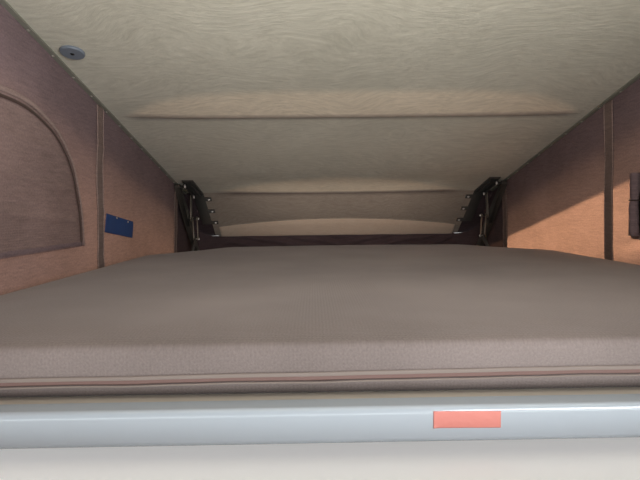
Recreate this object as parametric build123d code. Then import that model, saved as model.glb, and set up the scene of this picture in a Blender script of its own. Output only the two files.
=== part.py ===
# Elevating roof of a camper van, standing open, with the bed under it.
# X runs to the right, Y to the front of the van and Z up. The origin is the middle of the
# face on which the base frame sits on the van's roof. All sizes are in millimetres.
# The lid and what it carries are drawn as they lie when the roof is shut and are then raised.
import os
from math import asin, atan2, cos, degrees, hypot, radians, sin, tan

from build123d import *

# Base frame
FRAME_HALF_WIDTH = 712.0
FRAME_HALF_LENGTH = 1430.0
FRAME_CORNER = 134.0
FLANGE_WIDTH = 84.0
FLANGE_THICKNESS = 4.0
LEDGE_WIDTH = 34.0
LEDGE_TOP = 34.0
UPSTAND_INSET = 40.0
UPSTAND_THICKNESS = 4.0
UPSTAND_TOP = 46.0
BOLT_RADIUS = 4.5
BOLT_INSET = 57.0
BOLT_FROM_END = 430.0
SEAL_INSET = 6.0
SEAL_WIDTH = 22.0
SEAL_HEIGHT = 10.0
BOLT_HALF_SPACING_X = FRAME_HALF_WIDTH - BOLT_INSET
BOLT_HALF_SPACING_Y = FRAME_HALF_LENGTH - BOLT_FROM_END

# Lid, as it lies when shut
LID_OVERHANG = 18.0
LID_DRAFT = 5.0
LID_WALL = 7.0
LID_EDGE_ROUNDING = 18.0
RIM_CLEARANCE = 4.0
RIM_FLANGE_WIDTH = 40.0
RIM_FLANGE_THICKNESS = 6.0
CEILING_HEIGHT = 175.0
ROOF_THICKNESS = 37.0
LINER_THICKNESS = 8.0
LINER_INSET = 44.0
LIP_FROM_END = 93.0
LIP_BELOW_RIM = 2.4
FRONT_SLOPE_LENGTH = 290.0
NOSE_LENGTH = 325.0
NOSE_RISE = 42.0
RIDGE_INSET = 190.0
RIDGE_DROP = 14.0
RIDGES = (  # start and end, back from the front edge of the flat ceiling
    (930.0, 766.0),
    (224.0, 4.0),
)
VALANCE_DEPTH = 129.0
VALANCE_ARCH = 53.0
VALANCE_THICKNESS = 3.0
STRIP_WIDTH = 22.0
STRIP_THICKNESS = 4.0
LIP_STRIP_WIDTH = 16.0
CAP_RADIUS = 24.0
CAP_HEIGHT = 6.0
CAP_FROM_SIDE = 124.0
CAP_FROM_FRONT = 1097.0
SWAGE_COUNT = 4
SWAGE_SPACING = 290.0
SWAGE_WIDTH = 46.0
SWAGE_DEPTH = 4.0
SWAGE_FROM_REAR = 170.0
SWAGE_FROM_NOSE = 130.0
LID_HALF_WIDTH = FRAME_HALF_WIDTH + LID_OVERHANG
LID_HALF_LENGTH = FRAME_HALF_LENGTH
LID_CORNER = FRAME_CORNER + LID_OVERHANG
LID_RIM = UPSTAND_TOP + RIM_CLEARANCE
LID_TOP = CEILING_HEIGHT + ROOF_THICKNESS
LIP_Y = LID_HALF_LENGTH - LIP_FROM_END
LIP_HEIGHT = LID_RIM - LIP_BELOW_RIM
CEILING_FRONT = LIP_Y - FRONT_SLOPE_LENGTH
RIDGE_HALF_WIDTH = LID_HALF_WIDTH - RIDGE_INSET

# Canvas and what clamps it
CANVAS_THICKNESS = 1.6
CANVAS_GAP = 0.3
CANVAS_BOTTOM = 24.0
RAIL_THICKNESS = 6.0
RAIL_BOTTOM = 22.0
RAIL_TOP = 42.0
CANVAS_TOP_INSET = 75.0
CANVAS_TOP_FROM_REAR = 54.0
CANVAS_BEHIND_LIP = 14.0
CANVAS_TOP_CORNER = 90.0
SIDE_SEAM_INSET = 170.0
STRAP_WIDTH = 38.0
STRAP_THICKNESS = 1.6
STRAP_FOOT_GAP = 2.0
STRAPS_FROM_END = (1110.0, 410.0)
WINDOW_FROM_END = 1520.0
WINDOW_HALF_WIDTH = 312.0
WINDOW_BOTTOM = 166.0
WINDOW_HEIGHT = 296.0
FLAP_LAP = 14.0
FLAP_THICKNESS = 2.0
ROLL_RADIUS = 13.0
ROLL_LENGTH = 150.0
ROLL_FROM_WINDOW = 290.0
LABEL_LENGTH = 205.0
LABEL_WIDTH = 50.0
LABEL_HEIGHT = 197.0
LABEL_FROM_STRAP = 130.0
LABEL_TILT = 7.5
CANVAS_TOP_HALF_WIDTH = LID_HALF_WIDTH - CANVAS_TOP_INSET
CANVAS_TOP_REAR = CANVAS_TOP_FROM_REAR - LID_HALF_LENGTH
CANVAS_TOP_FRONT = LIP_Y - CANVAS_BEHIND_LIP
SIDE_SEAM_X = LID_HALF_WIDTH - SIDE_SEAM_INSET
STRAP_PLACES = [FRAME_HALF_LENGTH - distance for distance in STRAPS_FROM_END]
WINDOW_MIDDLE_Y = FRAME_HALF_LENGTH - WINDOW_FROM_END
ROLL_Y = WINDOW_MIDDLE_Y + ROLL_FROM_WINDOW
LABEL_MIDDLE = (STRAP_PLACES[0] + LABEL_FROM_STRAP, LABEL_HEIGHT)

# Bed
BED_SIDE_GAP = 60.0
BED_FRONT_GAP = 525.0
BED_LENGTH = 1418.0
BED_EDGE_DEPTH = 25.0
BED_BOW = 45.0
BED_CORNER_LENGTH = 300.0
BED_FRONT_NARROWING = 212.0
BED_CORNER_ROUNDING = 40.0
BOARD_BOTTOM = 12.0
BOARD_THICKNESS = 36.0
MATTRESS_GAP = 0.3
MATTRESS_THICKNESS = 55.7
MATTRESS_ROUNDING = 12.0
BED_RAIL_WIDTH = 56.0
BED_RAIL_INSET = 6.0
BED_HALF_WIDTH = FRAME_HALF_WIDTH - BED_SIDE_GAP
BED_FRONT_HALF_WIDTH = BED_HALF_WIDTH - BED_FRONT_NARROWING
BED_FRONT_MIDDLE = FRAME_HALF_LENGTH - BED_FRONT_GAP
BED_FRONT_CORNER = BED_FRONT_MIDDLE - BED_BOW
BED_SIDE_END = BED_FRONT_CORNER - BED_CORNER_LENGTH
BED_NEAR_EDGE = BED_FRONT_MIDDLE - BED_LENGTH
BOARD_TOP = BOARD_BOTTOM + BOARD_THICKNESS
MATTRESS_BOTTOM = BOARD_TOP + MATTRESS_GAP
MATTRESS_TOP = MATTRESS_BOTTOM + MATTRESS_THICKNESS

# Lift arms that carry the low end of the lid
ARM_FOOT_FROM_END = 130.0
ARM_FOOT_HEIGHT = 42.0
ARM_LENGTH = 423.0
ARM_ANGLE_OPEN = 43.8
ARM_PIN_BELOW_CEILING = 15.0
ARM_INSET = 80.0
ARM_DEPTH = 20.0
ARM_WALL = 4.0
ARM_FOOT_RADIUS = 13.0
ARM_MIDDLE_RADIUS = 20.0
ARM_TOP_RADIUS = 10.0
ARM_PIN_RADIUS = 5.0
ARM_POCKET_LOW = 29.0
ARM_POCKET_HIGH = 26.0
LID_TILT = 13.5
STUD_PLACE = 238.0
STUD_RADIUS = 3.5
STUD_END = 2.0
PIN_CLEARANCE = 0.4
ARM_FOOT = (FRAME_HALF_LENGTH - ARM_FOOT_FROM_END, ARM_FOOT_HEIGHT)
ARM_INNER_X = FRAME_HALF_WIDTH - ARM_INSET
ARM_OUTER_X = ARM_INNER_X + ARM_DEPTH

# Rods, crank and check link, each in its own slice inside the arm
LINK_PLATE = 4.0
LINK_GAP = 5.0
CHECK_GAP = 3.0
CRANK_FOOT_FROM_ARM = 250.0
CRANK_FOOT_HEIGHT = 66.0
CRANK_LENGTH = 105.0
CRANK_ANGLE_OPEN = 31.4
CRANK_FOOT_RADIUS = 10.0
CRANK_EYE_RADIUS = 14.0
CRANK_EYE_BORE = 10.6
CRANK_PIN_END = 3.0
ROD_EYE_RADIUS = 8.0
ROD_KNEE_RADIUS = 6.0
ROD_RADIUS = 3.0
KNEE_PIN_RADIUS = 2.5
CHECK_PIVOT_FROM_ARM = 256.5
CHECK_PIVOT_DROP = 17.0
CHECK_SLOT_TRAVEL = 36.0
CHECK_EYE_RADIUS = 10.0
CHECK_BORE = 6.4
CRANK_FOOT = (ARM_FOOT[0] - CRANK_FOOT_FROM_ARM, CRANK_FOOT_HEIGHT)
CHECK_PIVOT = (ARM_FOOT[0] - CHECK_PIVOT_FROM_ARM, CEILING_HEIGHT - CHECK_PIVOT_DROP)
CHECK_INNER_X = ARM_INNER_X - LINK_GAP - LINK_PLATE
ROD_OUTER_X = CHECK_INNER_X - CHECK_GAP - LINK_PLATE
CRANK_INNER_X = ROD_OUTER_X - LINK_GAP - LINK_PLATE
ROD_INNER_X = CRANK_INNER_X - LINK_GAP - LINK_PLATE

# Brackets
BRACKET_PLATE = 4.0
BRACKET_END = 30.0
FOOT_CHEEK_GAP = 4.0
FOOT_WAIST = 60.0
FOOT_WAIST_HEIGHT = 14.0
CRANK_BOSS_RADIUS = 8.0
LID_BRACKET_WIDTH = 43.0
LID_BRACKET_END = 35.0
INNER_WEB_PLACE = 11.0
INNER_WEB_HEIGHT = 12.0
TAB_REACH = 28.0
TAB_WIDTH = 22.0
TABS_FROM_CEILING = (28.0, 113.0, 198.0)
TAB_HOLE = 3.0
FOOT_CHEEK_X = ARM_INNER_X - FOOT_CHEEK_GAP - BRACKET_PLATE
LID_CHEEK_X = CHECK_INNER_X - LINK_GAP - BRACKET_PLATE
LID_BRACKET_INNER_X = LID_CHEEK_X + BRACKET_PLATE - LID_BRACKET_WIDTH

# Gas struts near the high end
STRUT_INSET = 94.0
STRUT_FOOT_FROM_END = 110.0
STRUT_FOOT_HEIGHT = 60.0
STRUT_EYE_FROM_END = 750.0
STRUT_EYE_DROP = 61.0
TUBE_RADIUS = 14.0
TUBE_END = 560.0
TUBE_NECK = 10.0
TUBE_BASE = 14.0
NECK_LAP = 1.0
STRUT_ROD_RADIUS = 5.0
STRUT_ROD_LENGTH = 595.0
STRUT_EYE_RADIUS = 12.0
STRUT_EYE_WIDTH = 12.0
STRUT_PIN_RADIUS = 5.0
STRUT_PIN_END = 2.0
STRUT_CHEEK_GAP = 10.0
STRUT_CHEEK_THICKNESS = 6.0
STRUT_PLATE_FLARE = 12.0
STRUT_PIN_GAP = 2.0
STRUT_X = FRAME_HALF_WIDTH - STRUT_INSET
STRUT_FOOT = (STRUT_FOOT_FROM_END - FRAME_HALF_LENGTH, STRUT_FOOT_HEIGHT)
STRUT_EYE = (STRUT_EYE_FROM_END - LID_HALF_LENGTH, CEILING_HEIGHT - STRUT_EYE_DROP)
STRUT_CHEEK_X = STRUT_X + STRUT_EYE_WIDTH / 2 + STRUT_CHEEK_GAP

SIDES = (("left", -1), ("right", 1))


def turned(point, angle):
    c, s = cos(radians(angle)), sin(radians(angle))
    return (point[0] * c - point[1] * s, point[0] * s + point[1] * c)


def along(start, angle, length):
    return (start[0] + length * cos(radians(angle)), start[1] + length * sin(radians(angle)))


# Where the arm's upper pin stands with the lid shut and with the lid open
PIN_HEIGHT_SHUT = CEILING_HEIGHT - ARM_PIN_BELOW_CEILING
ARM_ANGLE_SHUT = degrees(asin((PIN_HEIGHT_SHUT - ARM_FOOT[1]) / ARM_LENGTH))
PIN_SHUT = along(ARM_FOOT, 180.0 - ARM_ANGLE_SHUT, ARM_LENGTH)
PIN_OPEN = along(ARM_FOOT, 180.0 - ARM_ANGLE_OPEN, ARM_LENGTH)


def opened(point):
    offset = turned((point[0] - PIN_SHUT[0], point[1] - PIN_SHUT[1]), -LID_TILT)
    return (PIN_OPEN[0] + offset[0], PIN_OPEN[1] + offset[1])


def raised(shape):
    to_pin = Location((0, -PIN_SHUT[0], -PIN_SHUT[1]))
    tilt = Location((0, PIN_OPEN[0], PIN_OPEN[1]), (-LID_TILT, 0, 0))
    return shape.moved(tilt * to_pin)


def save(shape, name):
    export_step(shape, "parts/" + name + ".step")


# Plates and pins across the van, drawn in the side view
def side_plate(points, x_low, x_high):
    face = Plane.YZ.offset(x_low) * make_face(Polyline(*points, close=True))
    return extrude(face, amount=x_high - x_low, dir=(1, 0, 0))


def cross_pin(point, radius, x_low, x_high):
    face = Plane.YZ.offset(x_low) * Pos(*point) * Circle(radius)
    return extrude(face, amount=x_high - x_low, dir=(1, 0, 0))


def cross_bar(start, end, start_radius, end_radius, x_low, x_high):
    span = hypot(end[0] - start[0], end[1] - start[1])
    heading = degrees(atan2(end[1] - start[1], end[0] - start[0]))
    lean = degrees(asin((start_radius - end_radius) / span))
    corners = (
        along(start, heading + 90.0 - lean, start_radius),
        along(start, heading - 90.0 + lean, start_radius),
        along(end, heading - 90.0 + lean, end_radius),
        along(end, heading + 90.0 - lean, end_radius),
    )
    bar = side_plate(corners, x_low, x_high)
    bar += cross_pin(start, start_radius, x_low, x_high)
    bar += cross_pin(end, end_radius, x_low, x_high)
    return bar


def on_side(shape, sign):
    return shape if sign > 0 else mirror(shape, about=Plane.YZ)


# Rings that follow the outline of the base frame
def frame_plan(inset):
    return RectangleRounded(
        2 * (FRAME_HALF_WIDTH - inset),
        2 * (FRAME_HALF_LENGTH - inset),
        FRAME_CORNER - inset,
    )


def frame_ring(inset, width, bottom, top):
    plan = frame_plan(inset) - frame_plan(inset + width)
    return extrude(Plane.XY.offset(bottom) * plan, amount=top - bottom)


def base_frame():
    frame = frame_ring(0, FLANGE_WIDTH, 0, FLANGE_THICKNESS)
    frame += frame_ring(0, LEDGE_WIDTH, FLANGE_THICKNESS, LEDGE_TOP)
    frame += frame_ring(UPSTAND_INSET, UPSTAND_THICKNESS, FLANGE_THICKNESS, UPSTAND_TOP)
    bolt = extrude(Circle(BOLT_RADIUS), amount=FLANGE_THICKNESS)
    for place in GridLocations(2 * BOLT_HALF_SPACING_X, 2 * BOLT_HALF_SPACING_Y, 2, 2):
        frame -= place * bolt
    return frame


def frame_seal():
    return frame_ring(SEAL_INSET, SEAL_WIDTH, LEDGE_TOP, LEDGE_TOP + SEAL_HEIGHT)


CANVAS_INSET = UPSTAND_INSET + UPSTAND_THICKNESS + CANVAS_GAP
RAIL_INSET = CANVAS_INSET + CANVAS_THICKNESS + CANVAS_GAP


def canvas_rail():
    return frame_ring(RAIL_INSET, RAIL_THICKNESS, RAIL_BOTTOM, RAIL_TOP)


# Everything above the underside of the ceiling, to trim what hangs from the lid
def above_ceiling(drop):
    run = (CEILING_HEIGHT - LIP_HEIGHT) / (LIP_Y - CEILING_FRONT)
    far = 2 * LID_HALF_LENGTH
    ahead = LID_HALF_LENGTH - LIP_Y
    points = (
        (-far, CEILING_HEIGHT - drop),
        (CEILING_FRONT, CEILING_HEIGHT - drop),
        (LIP_Y + ahead, LIP_HEIGHT - drop - ahead * run),
        (far, LIP_HEIGHT - drop - ahead * run),
        (far, 2 * LID_TOP),
        (-far, 2 * LID_TOP),
    )
    return raised(side_plate(points, -LID_HALF_WIDTH, LID_HALF_WIDTH))


def canvas_top_plan(inset):
    length = CANVAS_TOP_FRONT - CANVAS_TOP_REAR
    outline = RectangleRounded(
        2 * (CANVAS_TOP_HALF_WIDTH - inset), length - 2 * inset, CANVAS_TOP_CORNER - inset
    )
    return Pos(0, (CANVAS_TOP_FRONT + CANVAS_TOP_REAR) / 2) * outline


# The inside or outside of the canvas, from the base frame up to the tilted ceiling
def canvas_body(inset):
    plan = frame_plan(CANVAS_INSET + inset)
    hem = extrude(Plane.XY.offset(CANVAS_BOTTOM) * plan, amount=UPSTAND_TOP - CANVAS_BOTTOM)
    low = Plane.XY.offset(UPSTAND_TOP) * plan
    high = raised(Pos(0, 0, CEILING_HEIGHT + LINER_THICKNESS) * canvas_top_plan(inset))
    return hem + loft([low.faces()[0], high.faces()[0]], ruled=True)


def canvas_skin(inset, thickness):
    skin = canvas_body(inset) - canvas_body(inset + thickness)
    return skin - above_ceiling(STRIP_THICKNESS + 2 * CANVAS_GAP)


def window_outline(grow):
    half_width = WINDOW_HALF_WIDTH + grow
    height = WINDOW_HEIGHT + 2 * grow
    shape = Ellipse(half_width, height) - Pos(0, -height) * Rectangle(4 * half_width, 2 * height)
    return Pos(WINDOW_MIDDLE_Y, WINDOW_BOTTOM - grow) * shape


def window_block(grow, sign):
    face = Plane.YZ * window_outline(grow)
    return on_side(extrude(face, amount=FRAME_HALF_WIDTH, dir=(1, 0, 0)), sign)


def canvas_panels():
    skin = canvas_skin(0, CANVAS_THICKNESS)
    tall = 4 * FRAME_HALF_LENGTH
    middle = Box(2 * SIDE_SEAM_X, tall, tall)
    for name, sign in SIDES:
        half = Pos(sign * tall / 2, 0, 0) * Box(tall, tall, tall)
        panel = (skin - middle) & half
        if name == "right":
            panel -= window_block(0, sign)
        save(panel, "canvas_" + name)
    for name, sign in (("front", 1), ("rear", -1)):
        half = Pos(0, sign * tall / 2, 0) * Box(tall, tall, tall)
        save((skin & middle) & half, "canvas_" + name)


# How far out the inside of a side wall stands at a place along the van and a height
def wall_x(y, z):
    ceiling = opened((0, CEILING_HEIGHT + LINER_THICKNESS))
    ceiling_here = ceiling[1] - (y - ceiling[0]) * tan(radians(LID_TILT))
    low = FRAME_HALF_WIDTH - CANVAS_INSET - CANVAS_THICKNESS
    high = CANVAS_TOP_HALF_WIDTH - CANVAS_THICKNESS
    return low + (high - low) * (z - UPSTAND_TOP) / (ceiling_here - UPSTAND_TOP)


def flap_roll():
    low_x = wall_x(ROLL_Y, WINDOW_BOTTOM)
    high_x = wall_x(ROLL_Y, WINDOW_BOTTOM + ROLL_LENGTH)
    lean = degrees(atan2(high_x - low_x, ROLL_LENGTH))
    foot = (low_x - ROLL_RADIUS - CANVAS_GAP, ROLL_Y, WINDOW_BOTTOM)
    return Location(foot, (0, lean, 0)) * extrude(Circle(ROLL_RADIUS), amount=ROLL_LENGTH)


STRAP_INSET = CANVAS_THICKNESS + CANVAS_GAP


def canvas_fittings():
    webbing = canvas_skin(STRAP_INSET, STRAP_THICKNESS)
    flap_skin = canvas_skin(STRAP_INSET, FLAP_THICKNESS)
    high = 2 * FRAME_HALF_LENGTH
    for name, sign in SIDES:
        straps = Compound(
            children=[
                webbing
                & Pos(sign * FRAME_HALF_WIDTH, place, RAIL_TOP + STRAP_FOOT_GAP + high / 2)
                * Box(FRAME_HALF_WIDTH, STRAP_WIDTH, high)
                for place in STRAP_PLACES
            ]
        )
        save(straps, "canvas_straps_" + name)
    save(flap_skin & window_block(FLAP_LAP, -1), "window_flap_left")
    screen = canvas_skin(CANVAS_THICKNESS / 2, CANVAS_THICKNESS / 4)
    save(screen & window_block(-CANVAS_GAP, 1), "window_screen_right")
    save(flap_roll(), "window_flap_roll_right")
    label_at = Location((-FRAME_HALF_WIDTH, *LABEL_MIDDLE), (-LABEL_TILT, 0, 0))
    label_block = label_at * Box(FRAME_HALF_WIDTH, LABEL_LENGTH, LABEL_WIDTH)
    save(webbing & label_block, "canvas_label")


# Bed
def bed_plan():
    front = BED_FRONT_HALF_WIDTH
    near = BED_NEAR_EDGE + BED_EDGE_DEPTH
    outline = Polyline(
        (-front, BED_FRONT_CORNER),
        (-BED_HALF_WIDTH, BED_SIDE_END),
        (-BED_HALF_WIDTH, near),
        (BED_HALF_WIDTH, near),
        (BED_HALF_WIDTH, BED_SIDE_END),
        (front, BED_FRONT_CORNER),
    )
    bow = ThreePointArc((front, BED_FRONT_CORNER), (0, BED_FRONT_MIDDLE), (-front, BED_FRONT_CORNER))
    face = make_face([outline, bow])
    return fillet(face.vertices(), BED_CORNER_ROUNDING)


def bed():
    board = extrude(Plane.XY.offset(BOARD_BOTTOM) * bed_plan(), amount=BOARD_THICKNESS)
    save(board, "bed_board")
    mattress = extrude(Plane.XY.offset(MATTRESS_BOTTOM) * bed_plan(), amount=MATTRESS_THICKNESS)
    mattress = fillet(mattress.edges().group_by(Axis.Z)[-1], MATTRESS_ROUNDING)
    save(mattress, "mattress")
    edge = Pos(0, BED_NEAR_EDGE + BED_EDGE_DEPTH / 2, (BOARD_BOTTOM + BOARD_TOP) / 2) * Box(
        2 * BED_HALF_WIDTH, BED_EDGE_DEPTH, BOARD_THICKNESS
    )
    near_edges = edge.edges().filter_by(Axis.X).group_by(Axis.Y)[0]
    save(fillet(near_edges, BED_EDGE_DEPTH / 4), "bed_edge_profile")
    length = BED_SIDE_END - BED_NEAR_EDGE
    rail_height = BOARD_BOTTOM - FLANGE_THICKNESS
    rail = Box(BED_RAIL_WIDTH, length, rail_height)
    middle_x = BED_HALF_WIDTH - BED_RAIL_INSET - BED_RAIL_WIDTH / 2
    middle_y = (BED_SIDE_END + BED_NEAR_EDGE) / 2
    rails = [
        Pos(sign * middle_x, middle_y, FLANGE_THICKNESS + rail_height / 2) * rail
        for name, sign in SIDES
    ]
    save(Compound(children=rails), "bed_rails")


# Lid
def lid_plan(inset):
    return RectangleRounded(
        2 * (LID_HALF_WIDTH - inset), 2 * (LID_HALF_LENGTH - inset), LID_CORNER - inset
    )


CEILING_FALL = degrees(atan2(CEILING_HEIGHT - LIP_HEIGHT, LIP_Y - CEILING_FRONT))


# A point above the front slope of the ceiling, measured square to the slope
def above_slope(point, height):
    return along(point, 90.0 - CEILING_FALL, height)


# Shallow grooves along the top that stiffen the shell
def lid_swages():
    rear = SWAGE_FROM_REAR - LID_HALF_LENGTH
    front = LID_HALF_LENGTH - NOSE_LENGTH - SWAGE_FROM_NOSE
    slot = Rot(0, 0, 90) * SlotOverall(front - rear, SWAGE_WIDTH)
    floor = Plane.XY.offset(LID_TOP - SWAGE_DEPTH) * Pos(0, (front + rear) / 2) * slot
    groove = extrude(floor, amount=SWAGE_DEPTH, taper=-45)
    return [place * groove for place in GridLocations(SWAGE_SPACING, 1, SWAGE_COUNT, 1)]


def lid_shell():
    far = 2 * LID_HALF_LENGTH
    body = extrude(
        Plane.XY.offset(LID_RIM) * lid_plan(0), amount=LID_TOP - LID_RIM, taper=LID_DRAFT
    )
    crown = (
        (-far, LID_RIM),
        (-far, LID_TOP),
        (LID_HALF_LENGTH - NOSE_LENGTH, LID_TOP),
        (LID_HALF_LENGTH, LID_RIM + NOSE_RISE),
        (LID_HALF_LENGTH, LID_RIM),
    )
    body &= side_plate(crown, -LID_HALF_WIDTH, LID_HALF_WIDTH)
    upper_edges = body.edges().filter_by(
        lambda edge: edge.bounding_box().min.Z > LID_RIM + RIM_FLANGE_THICKNESS
    )
    body = fillet(upper_edges, LID_EDGE_ROUNDING)
    for groove in lid_swages():
        body -= groove
    cavity = extrude(
        Plane.XY.offset(LID_RIM + RIM_FLANGE_THICKNESS) * lid_plan(LID_WALL),
        amount=LID_TOP - LID_RIM - RIM_FLANGE_THICKNESS,
        taper=LID_DRAFT,
    )
    slope_high = above_slope((CEILING_FRONT, CEILING_HEIGHT), LINER_THICKNESS)
    slope_low = above_slope((LIP_Y, LIP_HEIGHT), LINER_THICKNESS)
    roof_underside = (
        (-far, 0),
        (-far, CEILING_HEIGHT + LINER_THICKNESS),
        (CEILING_FRONT, CEILING_HEIGHT + LINER_THICKNESS),
        slope_high,
        slope_low,
        (slope_low[0], 0),
    )
    room = side_plate(roof_underside, -LID_HALF_WIDTH, LID_HALF_WIDTH)
    cavity &= room
    mouth = extrude(lid_plan(RIM_FLANGE_WIDTH), amount=CEILING_HEIGHT)
    mouth &= room
    return body - cavity - mouth


# The part of a solid that lies behind the front slope of the ceiling
def behind_slope(shape):
    far = 2 * LID_HALF_LENGTH
    return shape & Pos(0, CEILING_FRONT - far / 2, 0) * Box(far, far, far)


# A shallow wedge under the ceiling: it starts on an arch, deepens forward and ends in a straight step
def ridge(start, end):
    half = RIDGE_HALF_WIDTH
    arch = ThreePointArc((-half, end), (0, start), (half, end))
    outline = make_face([arch, Line((half, end), (-half, end))])
    slant = Vector(0, end - start, -RIDGE_DROP)
    wedge = extrude(Plane.XY.offset(CEILING_HEIGHT) * outline, amount=slant.length, dir=slant)
    behind = Pos(0, end - LID_HALF_LENGTH, CEILING_HEIGHT) * Box(
        2 * LID_HALF_WIDTH, 2 * LID_HALF_LENGTH, LID_TOP
    )
    return wedge & behind


def headliner():
    plan = Plane.XY.offset(CEILING_HEIGHT) * lid_plan(LINER_INSET)
    panel = behind_slope(extrude(plan, amount=LINER_THICKNESS))
    for start, end in RIDGES:
        panel += ridge(CEILING_FRONT - start, CEILING_FRONT - end)
    return panel


# Pad with an arched upper edge at the foot of the front slope, drawn flat and laid on it
def valance():
    half = RIDGE_HALF_WIDTH
    side_height = VALANCE_DEPTH - VALANCE_ARCH
    outline = make_face(
        [
            ThreePointArc((-half, side_height), (0, VALANCE_DEPTH), (half, side_height)),
            Polyline(
                (half, side_height),
                (half, LIP_STRIP_WIDTH),
                (-half, LIP_STRIP_WIDTH),
                (-half, side_height),
            ),
        ]
    )
    slope = Plane(
        origin=(0, LIP_Y, LIP_HEIGHT),
        x_dir=(1, 0, 0),
        z_dir=(0, -sin(radians(CEILING_FALL)), -cos(radians(CEILING_FALL))),
    )
    return extrude(slope * outline, amount=VALANCE_THICKNESS)


def front_liner():
    high = (CEILING_FRONT, CEILING_HEIGHT)
    low = (LIP_Y, LIP_HEIGHT)
    corners = (
        high,
        (CEILING_FRONT, CEILING_HEIGHT + LINER_THICKNESS),
        above_slope(high, LINER_THICKNESS),
        above_slope(low, LINER_THICKNESS),
        low,
    )
    slope = side_plate(corners, -LID_HALF_WIDTH, LID_HALF_WIDTH)
    return (slope & extrude(lid_plan(LINER_INSET), amount=LID_TOP)) + valance()


def lip_strip():
    low = (LIP_Y, LIP_HEIGHT)
    high = along(low, 180.0 - CEILING_FALL, LIP_STRIP_WIDTH)
    corners = (
        low,
        high,
        above_slope(high, -STRIP_THICKNESS),
        above_slope(low, -STRIP_THICKNESS),
    )
    return side_plate(corners, -RIDGE_HALF_WIDTH, RIDGE_HALF_WIDTH)


def edge_strips():
    ring = canvas_top_plan(-STRIP_WIDTH / 2) - canvas_top_plan(STRIP_WIDTH / 2)
    strip = Plane.XY.offset(CEILING_HEIGHT - STRIP_THICKNESS) * ring
    return behind_slope(extrude(strip, amount=STRIP_THICKNESS))


def ceiling_cap():
    middle = Pos(CAP_FROM_SIDE - LID_HALF_WIDTH, CEILING_FRONT - CAP_FROM_FRONT)
    face = Plane.XY.offset(CEILING_HEIGHT - CAP_HEIGHT) * middle * Circle(CAP_RADIUS)
    cap = extrude(face, amount=CAP_HEIGHT)
    return fillet(cap.edges().group_by(Axis.Z)[0], CAP_HEIGHT / 2)


# Bracket on the ceiling that takes the arm's upper pin and the check link
def roof_bracket():
    fall = CEILING_FALL
    top = CEILING_HEIGHT
    rear = PIN_SHUT[0] - LID_BRACKET_END
    bend = (CEILING_FRONT, top)
    low = along(bend, -fall, TABS_FROM_CEILING[-1] + TAB_WIDTH)
    inner_bend = (bend[0] - BRACKET_PLATE * tan(radians(fall / 2)), top - BRACKET_PLATE)
    cheek_x = (LID_CHEEK_X, LID_CHEEK_X + BRACKET_PLATE)
    plate_outline = (
        (rear, top),
        bend,
        low,
        above_slope(low, -BRACKET_PLATE),
        inner_bend,
        (rear, top - BRACKET_PLATE),
    )
    bracket = side_plate(plate_outline, LID_BRACKET_INNER_X, cheek_x[1])
    web_outline = ((PIN_SHUT[0], top), bend, (bend[0], CHECK_PIVOT[1]), PIN_SHUT)
    bracket += side_plate(web_outline, *cheek_x)
    web_foot = top - INNER_WEB_HEIGHT
    inner_web = ((rear, top), bend, (bend[0], web_foot), (PIN_SHUT[0], web_foot))
    inner_x = LID_BRACKET_INNER_X + INNER_WEB_PLACE
    bracket += side_plate(inner_web, inner_x, inner_x + BRACKET_PLATE)
    bracket += cross_pin(PIN_SHUT, ARM_TOP_RADIUS, *cheek_x)
    bracket += cross_pin(CHECK_PIVOT, CHECK_EYE_RADIUS, *cheek_x)
    bracket += cross_pin(PIN_SHUT, ARM_PIN_RADIUS, cheek_x[1], ARM_OUTER_X)
    bracket += cross_pin(CHECK_PIVOT, STUD_RADIUS, cheek_x[1], CHECK_INNER_X + LINK_PLATE)
    for place in TABS_FROM_CEILING:
        start = along(bend, -fall, place)
        end = along(start, -fall, TAB_WIDTH)
        tab_outline = (start, end, above_slope(end, -BRACKET_PLATE),
                       above_slope(start, -BRACKET_PLATE))
        tab_x = LID_BRACKET_INNER_X - TAB_REACH
        bracket += side_plate(tab_outline, tab_x, LID_BRACKET_INNER_X)
        screw = along(start, -fall, TAB_WIDTH / 2)
        hole = Location(
            (tab_x + TAB_WIDTH / 2, *above_slope(screw, -2 * BRACKET_PLATE)), (-fall, 0, 0)
        )
        bracket -= hole * extrude(Circle(TAB_HOLE), amount=2 * BRACKET_PLATE)
    return bracket


def lift_arm():
    heading = 180.0 - ARM_ANGLE_OPEN
    top = along(ARM_FOOT, heading, ARM_LENGTH)
    middle = along(ARM_FOOT, heading, ARM_LENGTH / 2)
    slab = (ARM_INNER_X, ARM_OUTER_X)
    arm = cross_bar(ARM_FOOT, middle, ARM_FOOT_RADIUS, ARM_MIDDLE_RADIUS, *slab)
    arm += cross_bar(middle, top, ARM_MIDDLE_RADIUS, ARM_TOP_RADIUS, *slab)
    pocket_low = along(ARM_FOOT, heading, ARM_POCKET_LOW)
    pocket_high = along(ARM_FOOT, heading, ARM_LENGTH - ARM_POCKET_HIGH)
    pocket = (ARM_INNER_X + ARM_WALL, ARM_OUTER_X)
    middle_radius = ARM_MIDDLE_RADIUS - ARM_WALL
    arm -= cross_bar(pocket_low, middle, ARM_FOOT_RADIUS - ARM_WALL, middle_radius, *pocket)
    arm -= cross_bar(middle, pocket_high, middle_radius, ARM_TOP_RADIUS - ARM_WALL, *pocket)
    bore = ARM_PIN_RADIUS + PIN_CLEARANCE
    arm -= cross_pin(ARM_FOOT, bore, *slab)
    arm -= cross_pin(top, bore, *slab)
    stud = along(ARM_FOOT, heading, STUD_PLACE)
    return arm + cross_pin(stud, STUD_RADIUS, ROD_INNER_X - STUD_END, pocket[0])


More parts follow.
